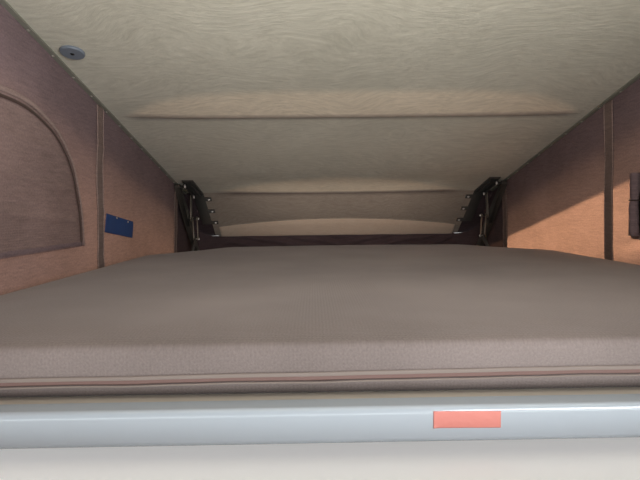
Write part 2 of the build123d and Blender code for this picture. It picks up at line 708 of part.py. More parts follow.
STUD_OPEN = along(ARM_FOOT, 180.0 - ARM_ANGLE_OPEN, STUD_PLACE)
KNEE_OPEN = along(CRANK_FOOT, CRANK_ANGLE_OPEN, CRANK_LENGTH)


def twin_rods():
    rods = cross_pin(KNEE_OPEN, KNEE_PIN_RADIUS, ROD_INNER_X, ROD_OUTER_X + LINK_PLATE)
    for inner in (ROD_INNER_X, ROD_OUTER_X):
        slice_x = (inner, inner + LINK_PLATE)
        rods += cross_bar(STUD_OPEN, KNEE_OPEN, ROD_RADIUS, ROD_RADIUS, *slice_x)
        rods += cross_pin(STUD_OPEN, ROD_EYE_RADIUS, *slice_x)
        rods += cross_pin(KNEE_OPEN, ROD_KNEE_RADIUS, *slice_x)
        rods -= cross_pin(STUD_OPEN, STUD_RADIUS + PIN_CLEARANCE, *slice_x)
    return rods


def crank():
    slice_x = (CRANK_INNER_X, CRANK_INNER_X + LINK_PLATE)
    plate = cross_bar(CRANK_FOOT, KNEE_OPEN, CRANK_FOOT_RADIUS, CRANK_EYE_RADIUS, *slice_x)
    plate -= cross_pin(CRANK_FOOT, STUD_RADIUS + PIN_CLEARANCE, *slice_x)
    return plate - cross_pin(KNEE_OPEN, CRANK_EYE_BORE, *slice_x)


def check_link():
    pivot = opened(CHECK_PIVOT)
    reach = hypot(STUD_OPEN[0] - pivot[0], STUD_OPEN[1] - pivot[1])
    heading = degrees(atan2(STUD_OPEN[1] - pivot[1], STUD_OPEN[0] - pivot[0]))
    slice_x = (CHECK_INNER_X, CHECK_INNER_X + LINK_PLATE)
    slot_start = along(pivot, heading, reach - CHECK_SLOT_TRAVEL)
    link = cross_bar(pivot, STUD_OPEN, CHECK_EYE_RADIUS, CHECK_EYE_RADIUS, *slice_x)
    link -= cross_bar(slot_start, STUD_OPEN, CHECK_BORE, CHECK_BORE, *slice_x)
    return link - cross_pin(pivot, STUD_RADIUS + PIN_CLEARANCE, *slice_x)


def frame_bracket():
    cheek_x = (FOOT_CHEEK_X, FOOT_CHEEK_X + BRACKET_PLATE)
    floor = FLANGE_THICKNESS
    rear = CRANK_FOOT[0] - BRACKET_END
    front = ARM_FOOT[0] + BRACKET_END
    waist = floor + FOOT_WAIST_HEIGHT
    base_outline = ((rear, floor), (front, floor), (front, floor + BRACKET_PLATE),
                    (rear, floor + BRACKET_PLATE))
    cheek_outline = (
        (rear, floor),
        (front, floor),
        (ARM_FOOT[0] + ARM_FOOT_RADIUS, ARM_FOOT[1]),
        (ARM_FOOT[0] - ARM_FOOT_RADIUS, ARM_FOOT[1]),
        (ARM_FOOT[0] - FOOT_WAIST, waist),
        (CRANK_FOOT[0] + FOOT_WAIST, waist),
        (CRANK_FOOT[0] + CRANK_BOSS_RADIUS, CRANK_FOOT[1]),
        (CRANK_FOOT[0] - CRANK_BOSS_RADIUS, CRANK_FOOT[1]),
    )
    bracket = side_plate(base_outline, FOOT_CHEEK_X, ARM_OUTER_X)
    bracket += side_plate(cheek_outline, *cheek_x)
    bracket += cross_pin(ARM_FOOT, ARM_FOOT_RADIUS, *cheek_x)
    bracket += cross_pin(CRANK_FOOT, CRANK_BOSS_RADIUS, *cheek_x)
    bracket += cross_pin(ARM_FOOT, ARM_PIN_RADIUS, cheek_x[1], ARM_OUTER_X)
    return bracket + cross_pin(CRANK_FOOT, STUD_RADIUS, CRANK_INNER_X - CRANK_PIN_END, cheek_x[0])


# Gas struts
EYE_OPEN = opened(STRUT_EYE)
STRUT_LENGTH = hypot(EYE_OPEN[0] - STRUT_FOOT[0], EYE_OPEN[1] - STRUT_FOOT[1])
STRUT_ANGLE = degrees(atan2(EYE_OPEN[1] - STRUT_FOOT[1], EYE_OPEN[0] - STRUT_FOOT[0]))


def strut_bar(radius, start, end):
    foot = Location((STRUT_X, *STRUT_FOOT), (STRUT_ANGLE - 90.0, 0, 0))
    return foot * Pos(0, 0, start) * extrude(Circle(radius), amount=end - start)


def strut_eye(point):
    low, high = STRUT_X - STRUT_EYE_WIDTH / 2, STRUT_X + STRUT_EYE_WIDTH / 2
    return cross_pin(point, STRUT_EYE_RADIUS, low, high)


def strut_hole(point):
    low, high = STRUT_X - STRUT_EYE_WIDTH, STRUT_X + STRUT_EYE_WIDTH
    return cross_pin(point, STRUT_PIN_RADIUS + PIN_CLEARANCE, low, high)


def strut_cylinder():
    start = STRUT_EYE_RADIUS + TUBE_NECK
    tube = strut_bar(TUBE_RADIUS, start, TUBE_END)
    tube -= strut_bar(STRUT_ROD_RADIUS + PIN_CLEARANCE, start + TUBE_BASE, TUBE_END)
    tube += strut_bar(STRUT_ROD_RADIUS, 0, start + NECK_LAP)
    return tube + strut_eye(STRUT_FOOT) - strut_hole(STRUT_FOOT)


def strut_rod():
    rod = strut_bar(STRUT_ROD_RADIUS, STRUT_LENGTH - STRUT_ROD_LENGTH, STRUT_LENGTH)
    return rod + strut_eye(EYE_OPEN) - strut_hole(EYE_OPEN)


# Cheek and pin that hold an eye of a strut, on the frame below or on the ceiling above
def strut_holder(eye, seat_height, pin_start):
    cheek_x = (STRUT_CHEEK_X, STRUT_CHEEK_X + STRUT_CHEEK_THICKNESS)
    seat_half = STRUT_EYE_RADIUS + STRUT_PLATE_FLARE
    outline = (
        (eye[0] - seat_half, seat_height),
        (eye[0] + seat_half, seat_height),
        (eye[0] + STRUT_EYE_RADIUS, eye[1]),
        (eye[0] - STRUT_EYE_RADIUS, eye[1]),
    )
    holder = side_plate(outline, *cheek_x)
    holder += cross_pin(eye, STRUT_EYE_RADIUS, *cheek_x)
    return holder + cross_pin(eye, STRUT_PIN_RADIUS, pin_start, cheek_x[0])


def strut_foot():
    inner_end = STRUT_X - STRUT_EYE_WIDTH / 2 - STRUT_PIN_END
    return strut_holder(STRUT_FOOT, FLANGE_THICKNESS, inner_end)


def strut_lug():
    inner_end = STRUT_X + STRUT_EYE_WIDTH / 2 + STRUT_PIN_GAP
    return strut_holder(STRUT_EYE, CEILING_HEIGHT, inner_end)


def main():
    os.makedirs("parts", exist_ok=True)
    save(base_frame(), "base_frame")
    save(frame_seal(), "frame_seal")
    save(canvas_rail(), "canvas_rail")
    canvas_panels()
    canvas_fittings()
    bed()
    for name, make in (
        ("lid_shell", lid_shell),
        ("headliner", headliner),
        ("front_liner", front_liner),
        ("lip_strip", lip_strip),
        ("edge_strips", edge_strips),
        ("ceiling_cap", ceiling_cap),
    ):
        save(raised(make()), name)
    for side, sign in SIDES:
        for name, make in (("roof_bracket", roof_bracket), ("strut_lug", strut_lug)):
            save(on_side(raised(make()), sign), name + "_" + side)
        for name, make in (
            ("lift_arm", lift_arm),
            ("twin_rods", twin_rods),
            ("crank", crank),
            ("check_link", check_link),
            ("frame_bracket", frame_bracket),
            ("strut_cylinder", strut_cylinder),
            ("strut_rod", strut_rod),
            ("strut_foot", strut_foot),
        ):
            save(on_side(make(), sign), name + "_" + side)


main()
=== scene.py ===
from math import atan2, cos, exp, hypot, pi, radians, sin, sqrt, tan

import bmesh
import bpy
from mathutils import Matrix, Vector, noise
from mathutils.bvhtree import BVHTree


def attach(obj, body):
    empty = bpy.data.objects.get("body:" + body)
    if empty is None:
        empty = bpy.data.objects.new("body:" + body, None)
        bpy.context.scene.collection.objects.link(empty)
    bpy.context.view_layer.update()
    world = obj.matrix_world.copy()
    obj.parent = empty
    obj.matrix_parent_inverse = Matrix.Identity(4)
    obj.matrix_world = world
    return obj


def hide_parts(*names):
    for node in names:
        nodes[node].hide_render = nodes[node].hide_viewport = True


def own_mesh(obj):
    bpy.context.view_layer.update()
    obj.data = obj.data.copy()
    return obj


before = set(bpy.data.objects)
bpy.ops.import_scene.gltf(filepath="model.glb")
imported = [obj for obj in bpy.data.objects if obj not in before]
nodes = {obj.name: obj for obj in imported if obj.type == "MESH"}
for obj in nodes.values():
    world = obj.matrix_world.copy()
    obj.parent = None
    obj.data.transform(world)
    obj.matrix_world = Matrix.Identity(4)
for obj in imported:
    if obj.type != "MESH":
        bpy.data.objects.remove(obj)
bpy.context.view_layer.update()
print("stage: frame loaded")


# Colours are written as sRGB hex and turned to the linear values that the shaders take
def colour(code):
    values = [int(code[i:i + 2], 16) / 255 for i in (0, 2, 4)]
    return [v / 12.92 if v <= 0.04045 else ((v + 0.055) / 1.055) ** 2.4 for v in values] + [1.0]


def add(tree, kind, settings=None, links=None, **props):
    node = tree.nodes.new(kind)
    for key, value in props.items():
        setattr(node, key, value)
    for key, value in (settings or {}).items():
        node.inputs[key].default_value = value
    for key, source in (links or {}).items():
        tree.links.new(source, node.inputs[key])
    return node


def newMaterial(name):
    material = bpy.data.materials.new(name)
    material.use_nodes = True
    material.node_tree.nodes.clear()
    return material, material.node_tree


def finishMaterial(tree, surface):
    add(tree, "ShaderNodeOutputMaterial", links={"Surface": surface})


# ---- camera, lamps and floor
view = {"place": (-0.115, -0.980, 0.238), "yaw": 0.817, "pitch": -3.462, "roll": -0.664,
        "lens": 28.125, "sensor": 36.0}


def makeCamera():
    yaw, pitch, roll = (radians(view[k]) for k in ("yaw", "pitch", "roll"))
    ahead = Vector((sin(yaw) * cos(pitch), cos(yaw) * cos(pitch), sin(pitch)))
    level = Vector((cos(yaw), -sin(yaw), 0))
    above = level.cross(ahead)
    right = level * cos(roll) + above * sin(roll)
    up = above * cos(roll) - level * sin(roll)
    lens = bpy.data.cameras.new("camera")
    lens.lens, lens.sensor_width = view["lens"], view["sensor"]
    lens.clip_start = 0.01
    camera = bpy.data.objects.new("camera", lens)
    bpy.context.scene.collection.objects.link(camera)
    camera.matrix_world = Matrix((
        (right.x, up.x, -ahead.x, view["place"][0]),
        (right.y, up.y, -ahead.y, view["place"][1]),
        (right.z, up.z, -ahead.z, view["place"][2]),
        (0, 0, 0, 1)))
    bpy.context.scene.camera = camera


# The lid stands open by this tilt in degrees; its arm pins move from shut to open, as (y, z)
lidPose = {"tilt": 13.5, "pinShut": (0.893792, 0.160), "pinOpen": (0.994695, 0.334777)}
lamps = {  # name: place, aim, size along and across, watts, colour, spread in degrees
    "rearLeft": ((0.36, -1.15, 0.30), (-0.66, -0.2, 0.36), (0.5, 0.3), 3.2, "fbfcff", 120),
    "bedFill": ((0.0, 0.30, 0.135), (0.0, 0.30, 1.0), (1.00, 1.05), 0.46, "fff6f0", 180),
    "rearBelow": ((0.0, -1.25, 0.05), (0.0, -1.25, 1.0), (1.3, 0.40), 5.5, "fbffff", 180),
    "openingBelow": ((0.0, -0.68, 0.02), (0.0, -0.68, 1.0), (1.28, 0.22), 2.3, "fbffff", 180),
    "farSlope": ((0.0, 0.90, 0.16), (0.0, 1.35, 0.28), (0.8, 0.10), 0.22, "fff0e6", 110),
    "farBed": ((0.0, 0.30, 0.40), (0.0, 0.95, 0.10), (0.9, 0.10), 0.16, "fff0e8", 90),
    "overBed": ((0.0, -0.55, 0.50), (0.0, 1.2, 0.33), (1.0, 0.12), 2.2, "fff8f2", 180),
    "overhead": ((-0.4, -0.6, 4.2), (0.0, 0.0, 0.3), (3.6, 3.6), 62.0, "ffffff", 180),
    "front": ((0.0, 4.6, 2.2), (0.0, 0.4, 0.2), (2.6, 2.0), 26.0, "ffffff", 180),
    "rear": ((-1.4, -4.6, 2.4), (0.0, -0.4, 0.3), (2.6, 2.0), 26.0, "ffffff", 180),
    "leftGlow": ((-1.05, 0.35, 0.86), (-0.66, 0.35, 0.187), (1.8, 0.40), 1.3, "fff0e8", 24),
    "rightSun": ((1.02, 0.46, 0.758), (0.66, 0.46, 0.225), (1.76, 0.20), 7.0, "fff0e4", 5),
}
overLid = ("rearLeft", "farBed", "overBed", "leftGlow", "rightSun")  # these stand above the shut lid


def makeLamps():
    for name, (place, aim, size, watts, code, spread) in lamps.items():
        lamp = bpy.data.lights.new(name, "AREA")
        lamp.shape, lamp.size, lamp.size_y = "RECTANGLE", size[0], size[1]
        lamp.energy, lamp.color = watts, colour(code)[:3]
        lamp.spread = radians(spread)
        holder = bpy.data.objects.new(name, lamp)
        bpy.context.scene.collection.objects.link(holder)
        toward = (Vector(aim) - Vector(place)).normalized()
        across = Vector((1, 0, 0))
        if abs(toward.x) > abs(toward.y):  # the long side runs along the lid's tilted rim
            lean = radians(lidPose["tilt"])
            across = Vector((0, cos(lean), -sin(lean)))
        upward = toward.cross(across).normalized()
        across = upward.cross(toward)
        holder.matrix_world = Matrix((
            (across.x, upward.x, -toward.x, place[0]),
            (across.y, upward.y, -toward.y, place[1]),
            (across.z, upward.z, -toward.z, place[2]),
            (0, 0, 0, 1)))
        holder.visible_camera = False


# The lamps over the lid light neither its skin nor the floor
def spareSkin():
    outerSkin = bpy.data.collections.new("outerSkin")
    for piece in (nodes["lid_shell"], bpy.data.objects["floor"]):
        outerSkin.objects.link(piece)
    for entry in outerSkin.collection_objects:
        entry.light_linking.link_state = "EXCLUDE"
    for name in overLid:
        bpy.data.objects[name].light_linking.receiver_collection = outerSkin


# 1 for rays that show the background: from the camera, through glass and off shiny surfaces
def straightRays(tree, path):
    seen = add(tree, "ShaderNodeMath", operation="MAXIMUM",
               links={0: path.outputs["Is Camera Ray"], 1: path.outputs["Is Transmission Ray"]})
    return add(tree, "ShaderNodeMath", operation="MAXIMUM",
               links={0: seen.outputs[0], 1: path.outputs["Is Glossy Ray"]})


def makeWorld():
    world = bpy.data.worlds.new("studio")
    bpy.context.scene.world = world
    world.use_nodes = True
    tree = world.node_tree
    tree.nodes.clear()
    path = add(tree, "ShaderNodeLightPath")
    seen = straightRays(tree, path)
    dim = add(tree, "ShaderNodeBackground", {"Color": colour("eef2f6"), "Strength": 0.11})
    white = add(tree, "ShaderNodeBackground", {"Color": (1, 1, 1, 1), "Strength": 1.0})
    both = add(tree, "ShaderNodeMixShader",
               links={0: seen.outputs[0], 1: dim.outputs[0], 2: white.outputs[0]})
    add(tree, "ShaderNodeOutputWorld", links={"Surface": both.outputs[0]})


def makeFloor():
    bm = bmesh.new()
    bmesh.ops.create_grid(bm, x_segments=1, y_segments=1, size=9.0)
    bmesh.ops.translate(bm, verts=bm.verts, vec=(0, 0, -0.003))
    mesh = bpy.data.meshes.new("floor")
    bm.to_mesh(mesh)
    bm.free()
    floor = bpy.data.objects.new("floor", mesh)
    bpy.context.scene.collection.objects.link(floor)
    material, tree = newMaterial("paintedFloor")
    path = add(tree, "ShaderNodeLightPath")
    seen = straightRays(tree, path)
    matt = add(tree, "ShaderNodeBsdfDiffuse", {"Color": colour("d9d8d4")})
    glow = add(tree, "ShaderNodeEmission", {"Color": (1, 1, 1, 1), "Strength": 0.42})
    lifted = add(tree, "ShaderNodeAddShader", links={0: matt.outputs[0], 1: glow.outputs[0]})
    both = add(tree, "ShaderNodeMixShader",
               links={0: seen.outputs[0], 1: matt.outputs[0], 2: lifted.outputs[0]})
    finishMaterial(tree, both.outputs[0])
    mesh.materials.append(material)


makeCamera()
makeLamps()
makeWorld()
makeFloor()
bpy.context.scene.view_settings.view_transform = "Standard"
print("stage: camera, lamps and floor")


# ---- materials

# Suede-look polyester laminate: short nap pressed in swirls, so broad lighter and darker strokes
def suedeLaminate(name, dark, pale):
    material, tree = newMaterial(name)
    place = add(tree, "ShaderNodeTexCoord")
    flow = add(tree, "ShaderNodeTexNoise", {"Scale": 2.6, "Detail": 2.0}, {"Vector": place.outputs["Object"]})
    bent = add(tree, "ShaderNodeVectorMath", {1: (0.30, 0.30, 0.0)}, {0: flow.outputs["Color"]},
               operation="MULTIPLY")
    warped = add(tree, "ShaderNodeVectorMath", operation="ADD",
                 links={0: place.outputs["Object"], 1: bent.outputs[0]})
    along = add(tree, "ShaderNodeMapping", {"Scale": (0.55, 2.1, 1.0)}, {"Vector": warped.outputs[0]})
    strokes = add(tree, "ShaderNodeTexNoise", {"Scale": 56.0, "Detail": 6.0, "Roughness": 0.72, "Distortion": 0.3},
                  {"Vector": along.outputs[0]})
    patches = add(tree, "ShaderNodeTexNoise", {"Scale": 3.0, "Detail": 3.0, "Distortion": 0.6},
                  {"Vector": place.outputs["Object"]})
    both = add(tree, "ShaderNodeMath", {1: 0.45}, {0: patches.outputs[0], 2: strokes.outputs[0]},
               operation="MULTIPLY_ADD")
    tone = add(tree, "ShaderNodeValToRGB", links={0: both.outputs[0]})
    tone.color_ramp.elements[0].position, tone.color_ramp.elements[1].position = 0.54, 0.91
    tone.color_ramp.elements[0].color = colour(dark)
    tone.color_ramp.elements[1].color = colour(pale)
    nap = add(tree, "ShaderNodeTexNoise", {"Scale": 700.0, "Detail": 2.0}, {"Vector": place.outputs["Object"]})
    height = add(tree, "ShaderNodeMath", {1: 0.10}, {0: nap.outputs[0], 2: strokes.outputs[0]},
                 operation="MULTIPLY_ADD")
    bump = add(tree, "ShaderNodeBump", {"Strength": 0.8, "Distance": 0.0024}, {"Height": height.outputs[0]})
    ridge = add(tree, "ShaderNodeAttribute", attribute_name="ridge")
    ridgeLit = add(tree, "ShaderNodeMix", {"B": (1.42, 1.29, 1.22, 1.0)},
                  {"Factor": ridge.outputs["Fac"], "A": tone.outputs[0]},
                  data_type="RGBA", blend_type="MULTIPLY")  # painted highlight: the ridge bands are made paler where they face the light
    crease = add(tree, "ShaderNodeAttribute", attribute_name="crease")
    creaseShaded = add(tree, "ShaderNodeMix", {"B": (0.42, 0.38, 0.39, 1.0)},
                {"Factor": crease.outputs["Fac"], "A": ridgeLit.outputs[2]},
                data_type="RGBA", blend_type="MULTIPLY")  # painted shadow in the fold behind each ridge
    cloth = add(tree, "ShaderNodeBsdfPrincipled",
                {"Roughness": 0.88, "Specular IOR Level": 0.25, "Sheen Weight": 0.35, "Sheen Roughness": 0.5},
                {"Base Color": creaseShaded.outputs[2], "Normal": bump.outputs[0]})
    finishMaterial(tree, cloth.outputs[0])
    return material


# Woven cotton and polyester tent cloth: brown yarn about 0.6 mm, drawn at 2.4 mm so that it shows
def tentCloth(name, code, lit, share):
    material, tree = newMaterial(name)
    place = add(tree, "ShaderNodeTexCoord")
    split = add(tree, "ShaderNodeSeparateXYZ", links={0: place.outputs["Object"]})
    sideways = add(tree, "ShaderNodeMath", operation="ADD",
                 links={0: split.outputs["X"], 1: split.outputs["Y"]})
    flat = add(tree, "ShaderNodeCombineXYZ", links={"X": sideways.outputs[0], "Y": split.outputs["Z"]})
    warp = add(tree, "ShaderNodeTexWave", {"Scale": 66.0, "Distortion": 1.2, "Detail": 1.0, "Detail Scale": 3.0},
               {"Vector": flat.outputs[0]}, bands_direction="X")
    weft = add(tree, "ShaderNodeTexWave", {"Scale": 66.0, "Distortion": 1.2, "Detail": 1.0, "Detail Scale": 3.0},
               {"Vector": flat.outputs[0]}, bands_direction="Y")
    yarn = add(tree, "ShaderNodeMath", operation="MULTIPLY",
               links={0: warp.outputs["Fac"], 1: weft.outputs["Fac"]})
    slub = add(tree, "ShaderNodeTexNoise", {"Scale": 240.0, "Detail": 3.0, "Roughness": 0.7},
               {"Vector": flat.outputs[0]})
    cloud = add(tree, "ShaderNodeTexNoise", {"Scale": 5.0, "Detail": 4.0, "Roughness": 0.6},
                {"Vector": place.outputs["Object"]})
    drawn = add(tree, "ShaderNodeMapping", {"Rotation": (0, 0, -0.22), "Scale": (26.0, 150.0, 1.0)},
                {"Vector": flat.outputs[0]})
    pulls = add(tree, "ShaderNodeTexNoise", {"Scale": 1.0, "Detail": 4.0, "Roughness": 0.65, "Distortion": 0.4},
                {"Vector": drawn.outputs[0]})  # weft threads pulled thick and thin
    grainy = add(tree, "ShaderNodeMath", {1: 0.8}, {0: pulls.outputs[0], 2: slub.outputs[0]},
                 operation="MULTIPLY_ADD")
    mixed = add(tree, "ShaderNodeMath", {1: 1.1}, {0: grainy.outputs[0], 2: cloud.outputs[0]},
                operation="MULTIPLY_ADD")
    spread = add(tree, "ShaderNodeMapRange", {"From Min": 1.09, "From Max": 1.89, "To Min": 0.70, "To Max": 1.30},
                 {"Value": mixed.outputs[0]})
    dyed = add(tree, "ShaderNodeMix", {"Factor": 1.0, "A": colour(code)}, {"B": spread.outputs[0]},
               data_type="RGBA", blend_type="MULTIPLY")
    through = add(tree, "ShaderNodeMix", {"Factor": 1.0, "A": colour(lit)}, {"B": spread.outputs[0]},
                  data_type="RGBA", blend_type="MULTIPLY")
    relief = add(tree, "ShaderNodeMath", {1: 3.0}, {0: pulls.outputs[0], 2: yarn.outputs[0]},
                 operation="MULTIPLY_ADD")
    bump = add(tree, "ShaderNodeBump", {"Strength": 0.6, "Distance": 0.0006}, {"Height": relief.outputs[0]})
    skin = add(tree, "ShaderNodeBsdfPrincipled", {"Roughness": 0.9, "Specular IOR Level": 0.2},
               {"Base Color": dyed.outputs[2], "Normal": bump.outputs[0]})
    glow = add(tree, "ShaderNodeBsdfTranslucent",
               links={"Color": through.outputs[2], "Normal": bump.outputs[0]})
    both = add(tree, "ShaderNodeMixShader", {0: share}, {1: skin.outputs[0], 2: glow.outputs[0]})
    finishMaterial(tree, both.outputs[0])
    return material


# Flat-woven cover cloth: two-tone taupe yarn 1 mm apart, drawn at 2 mm
def coverCloth():
    material, tree = newMaterial("wovenCover")
    place = add(tree, "ShaderNodeTexCoord")
    split = add(tree, "ShaderNodeSeparateXYZ", links={0: place.outputs["Object"]})
    down = add(tree, "ShaderNodeMath", operation="SUBTRACT",
               links={0: split.outputs["Y"], 1: split.outputs["Z"]})
    flat = add(tree, "ShaderNodeCombineXYZ", links={"X": split.outputs["X"], "Y": down.outputs[0]})
    warp = add(tree, "ShaderNodeTexWave", {"Scale": 80.0, "Distortion": 0.8, "Detail": 1.0},
               {"Vector": flat.outputs[0]}, bands_direction="X")
    weft = add(tree, "ShaderNodeTexWave", {"Scale": 80.0, "Distortion": 0.8, "Detail": 1.0},
               {"Vector": flat.outputs[0]}, bands_direction="Y")
    yarn = add(tree, "ShaderNodeMath", operation="MULTIPLY",
               links={0: warp.outputs["Fac"], 1: weft.outputs["Fac"]})
    fleck = add(tree, "ShaderNodeTexNoise", {"Scale": 420.0, "Detail": 2.0, "Roughness": 0.7},
                {"Vector": flat.outputs[0]})
    cloud = add(tree, "ShaderNodeTexNoise", {"Scale": 3.0, "Detail": 3.0}, {"Vector": place.outputs["Object"]})
    mixed = add(tree, "ShaderNodeMath", {1: 0.6}, {0: fleck.outputs[0], 2: cloud.outputs[0]},
                operation="MULTIPLY_ADD")
    tone = add(tree, "ShaderNodeValToRGB", links={0: mixed.outputs[0]})
    tone.color_ramp.elements[0].position, tone.color_ramp.elements[1].position = 0.6, 1.0
    tone.color_ramp.elements[0].color = colour("827874")
    tone.color_ramp.elements[1].color = colour("9b908c")
    foot = add(tree, "ShaderNodeMapRange", {"From Min": 0.0500, "From Max": 0.0625, "To Min": 0.30, "To Max": 0.85},
               {"Value": split.outputs["Z"]})
    shaded = add(tree, "ShaderNodeMix", {"Factor": 1.0}, {"A": tone.outputs[0], "B": foot.outputs[0]},
                 data_type="RGBA", blend_type="MULTIPLY")  # painted shade: the border below the zip darkens towards the board, where it turns under
    height = add(tree, "ShaderNodeMath", {1: 0.5}, {0: fleck.outputs[0], 2: yarn.outputs[0]},
                 operation="MULTIPLY_ADD")
    bump = add(tree, "ShaderNodeBump", {"Strength": 0.45, "Distance": 0.0005}, {"Height": height.outputs[0]})
    cloth = add(tree, "ShaderNodeBsdfPrincipled",
                {"Roughness": 0.85, "Specular IOR Level": 0.3, "Sheen Weight": 0.15, "Sheen Roughness": 0.4},
                {"Base Color": shaded.outputs[2], "Normal": bump.outputs[0]})
    finishMaterial(tree, cloth.outputs[0])
    return material


# One plain coated or moulded surface with fine grain in its bump and slight shifts of tone
def plainFinish(name, code, roughness, metallic=0.0, grain=0.0, grainSize=1.0, shade=0.08, coat=0.0, wear=None):
    material, tree = newMaterial(name)
    place = add(tree, "ShaderNodeTexCoord")
    cloud = add(tree, "ShaderNodeTexNoise", {"Scale": 7.0, "Detail": 5.0, "Roughness": 0.65},
                {"Vector": place.outputs["Object"]})
    tone = add(tree, "ShaderNodeMapRange", {"To Min": 1.0 - shade, "To Max": 1.0 + shade},
               {"Value": cloud.outputs[0]})
    tinted = add(tree, "ShaderNodeMix", {"Factor": 1.0, "A": colour(code)}, {"B": tone.outputs[0]},
                 data_type="RGBA", blend_type="MULTIPLY")
    shine = add(tree, "ShaderNodeMapRange", {"To Min": roughness * 0.85, "To Max": min(1.0, roughness * 1.15)},
                {"Value": cloud.outputs[0]})
    surface = add(tree, "ShaderNodeBsdfPrincipled", {"Metallic": metallic, "Coat Weight": coat},
                  {"Base Color": tinted.outputs[2], "Roughness": shine.outputs[0]})
    if wear:  # dust or bare metal that shows on edges
        worn = add(tree, "ShaderNodeNewGeometry")
        edge = add(tree, "ShaderNodeMapRange", {"From Min": 0.52, "From Max": 0.60},
                   {"Value": worn.outputs["Pointiness"]})
        rubbed = add(tree, "ShaderNodeMix", {"B": colour(wear)},
                     {"Factor": edge.outputs[0], "A": tinted.outputs[2]}, data_type="RGBA")
        tree.links.new(rubbed.outputs[2], surface.inputs["Base Color"])
    if grain:
        specks = add(tree, "ShaderNodeTexNoise", {"Scale": 1000.0 / grainSize, "Detail": 2.0},
                     {"Vector": place.outputs["Object"]})
        bump = add(tree, "ShaderNodeBump", {"Strength": grain, "Distance": 0.0003},
                   {"Height": specks.outputs[0]})
        tree.links.new(bump.outputs[0], surface.inputs["Normal"])
    finishMaterial(tree, surface.outputs[0])
    return material


suede = suedeLaminate("suedeLaminate", "b0ae9c", "cdcbb9")  # ceiling, bonded to the lid
shadedSlopeSuede = suedeLaminate("suedeLaminateSlopeShaded", "8f857a", "a69c8f")  # a darker copy of the ceiling suede: painted shade on the slope
valanceCloth = suedeLaminate("valanceSuedeLit", "dcc8b3", "e6d5c2")  # padded strip on the ceiling's rim, in a paler copy of the ceiling suede: painted light
capScrewBlack = plainFinish("blackenedScrew", "26282b", 0.45, metallic=0.6, grain=0.2)  # screw in the ceiling cap
canvasCloth = tentCloth("tentCloth", "7b6c6f", "eaae88", 0.12)  # walls, lit through by the sun
litFlapCloth = tentCloth("tentClothFlapLit", "8a7773", "eaae88", 0.06)  # the flap lies double over the wall; its paler colour is painted light
shadedFrontCloth = tentCloth("tentClothFrontShaded", "4c4145", "9a705a", 0.02)  # a darker copy with little light through it: painted shade under the nose
screenCloth = plainFinish("insectNet", "1b1a1a", 0.8, grain=0.5, grainSize=1.5)  # fine black net
cover = coverCloth()  # mattress cover
coverTape = plainFinish("coverTape", "8b8079", 0.8, grain=0.6, grainSize=1.4)  # woven tape round the cover
zipTapePink = plainFinish("zipTapeDusky", "7d645e", 0.8, grain=0.6, grainSize=1.2)  # woven edge of the cover's zip
webbing = tentCloth("polyesterWebbing", "7c6c66", "3a2a22", 0.02)  # straps, woven
piping = tentCloth("bindingTape", "93807a", "7a5a48", 0.03)  # binding of windows and strap edges
gelcoat = plainFinish("gelcoat", "dededa", 0.22, coat=0.5, shade=0.02, grain=0.05, grainSize=14)  # lid's outer skin
framePaint = plainFinish("paintedSteel", "dedfdd", 0.35, coat=0.3, shade=0.03, grain=0.06, grainSize=3)  # base frame
rubber = plainFinish("mouldedRubber", "1c1c1c", 0.75, grain=0.4, grainSize=1.2)  # frame's seal
millAluminium = plainFinish("millAluminium", "b9bab6", 0.36, metallic=1.0, grain=0.12, grainSize=2)  # rail and ledges
# edge strips at the ceiling, extruded and anodised
stripAluminium = plainFinish("anodisedStrip", "8b8c80", 0.5, metallic=0.25, grain=0.2, grainSize=1.5, shade=0.2)
lipAluminium = plainFinish("lipAluminium", "ece6dc", 0.5, metallic=0.1, grain=0.1, grainSize=2)  # thin strip at the lip
laminate = plainFinish("laminatedBoard", "b7b0a3", 0.55, grain=0.2, grainSize=4)  # bed board
edgeGloss = plainFinish("glossEdging", "b7c3cc", 0.12, coat=0.6, shade=0.015)  # bed's edge profile
# arms, brackets, cranks and struts, worn at their edges
powderBlack = plainFinish("powderCoatedSteel", "23221f", 0.42, grain=0.45, grainSize=1.6, wear="4a4640")
# rods and links, worn at their edges
zinc = plainFinish("zincPlatedSteel", "c8c2b8", 0.30, metallic=0.55, grain=0.15, grainSize=2, wear="8d867a")
polished = plainFinish("polishedSteel", "f0ece6", 0.24, metallic=0.40, grain=0.05, shade=0.03)  # pins and screws
capPlastic = plainFinish("mouldedPlastic", "717b86", 0.4, grain=0.2, grainSize=1.4)  # ceiling cap
stickerVinyl = plainFinish("stickerVinyl", "e08d82", 0.38, shade=0.03, grain=0.1, grainSize=6)  # printed film
labelCloth = plainFinish("labelCloth", "26457c", 0.8, grain=0.6, grainSize=1.6, shade=0.15)  # woven label
zipDark = plainFinish("nylonCoilZip", "4d3d38", 0.5, grain=0.6, grainSize=2.0)  # zip coils and ties
rivetSteel = plainFinish("blindRivet", "c9c6bb", 0.35, metallic=0.9, grain=0.1)  # rivets and studs
print("stage: materials")


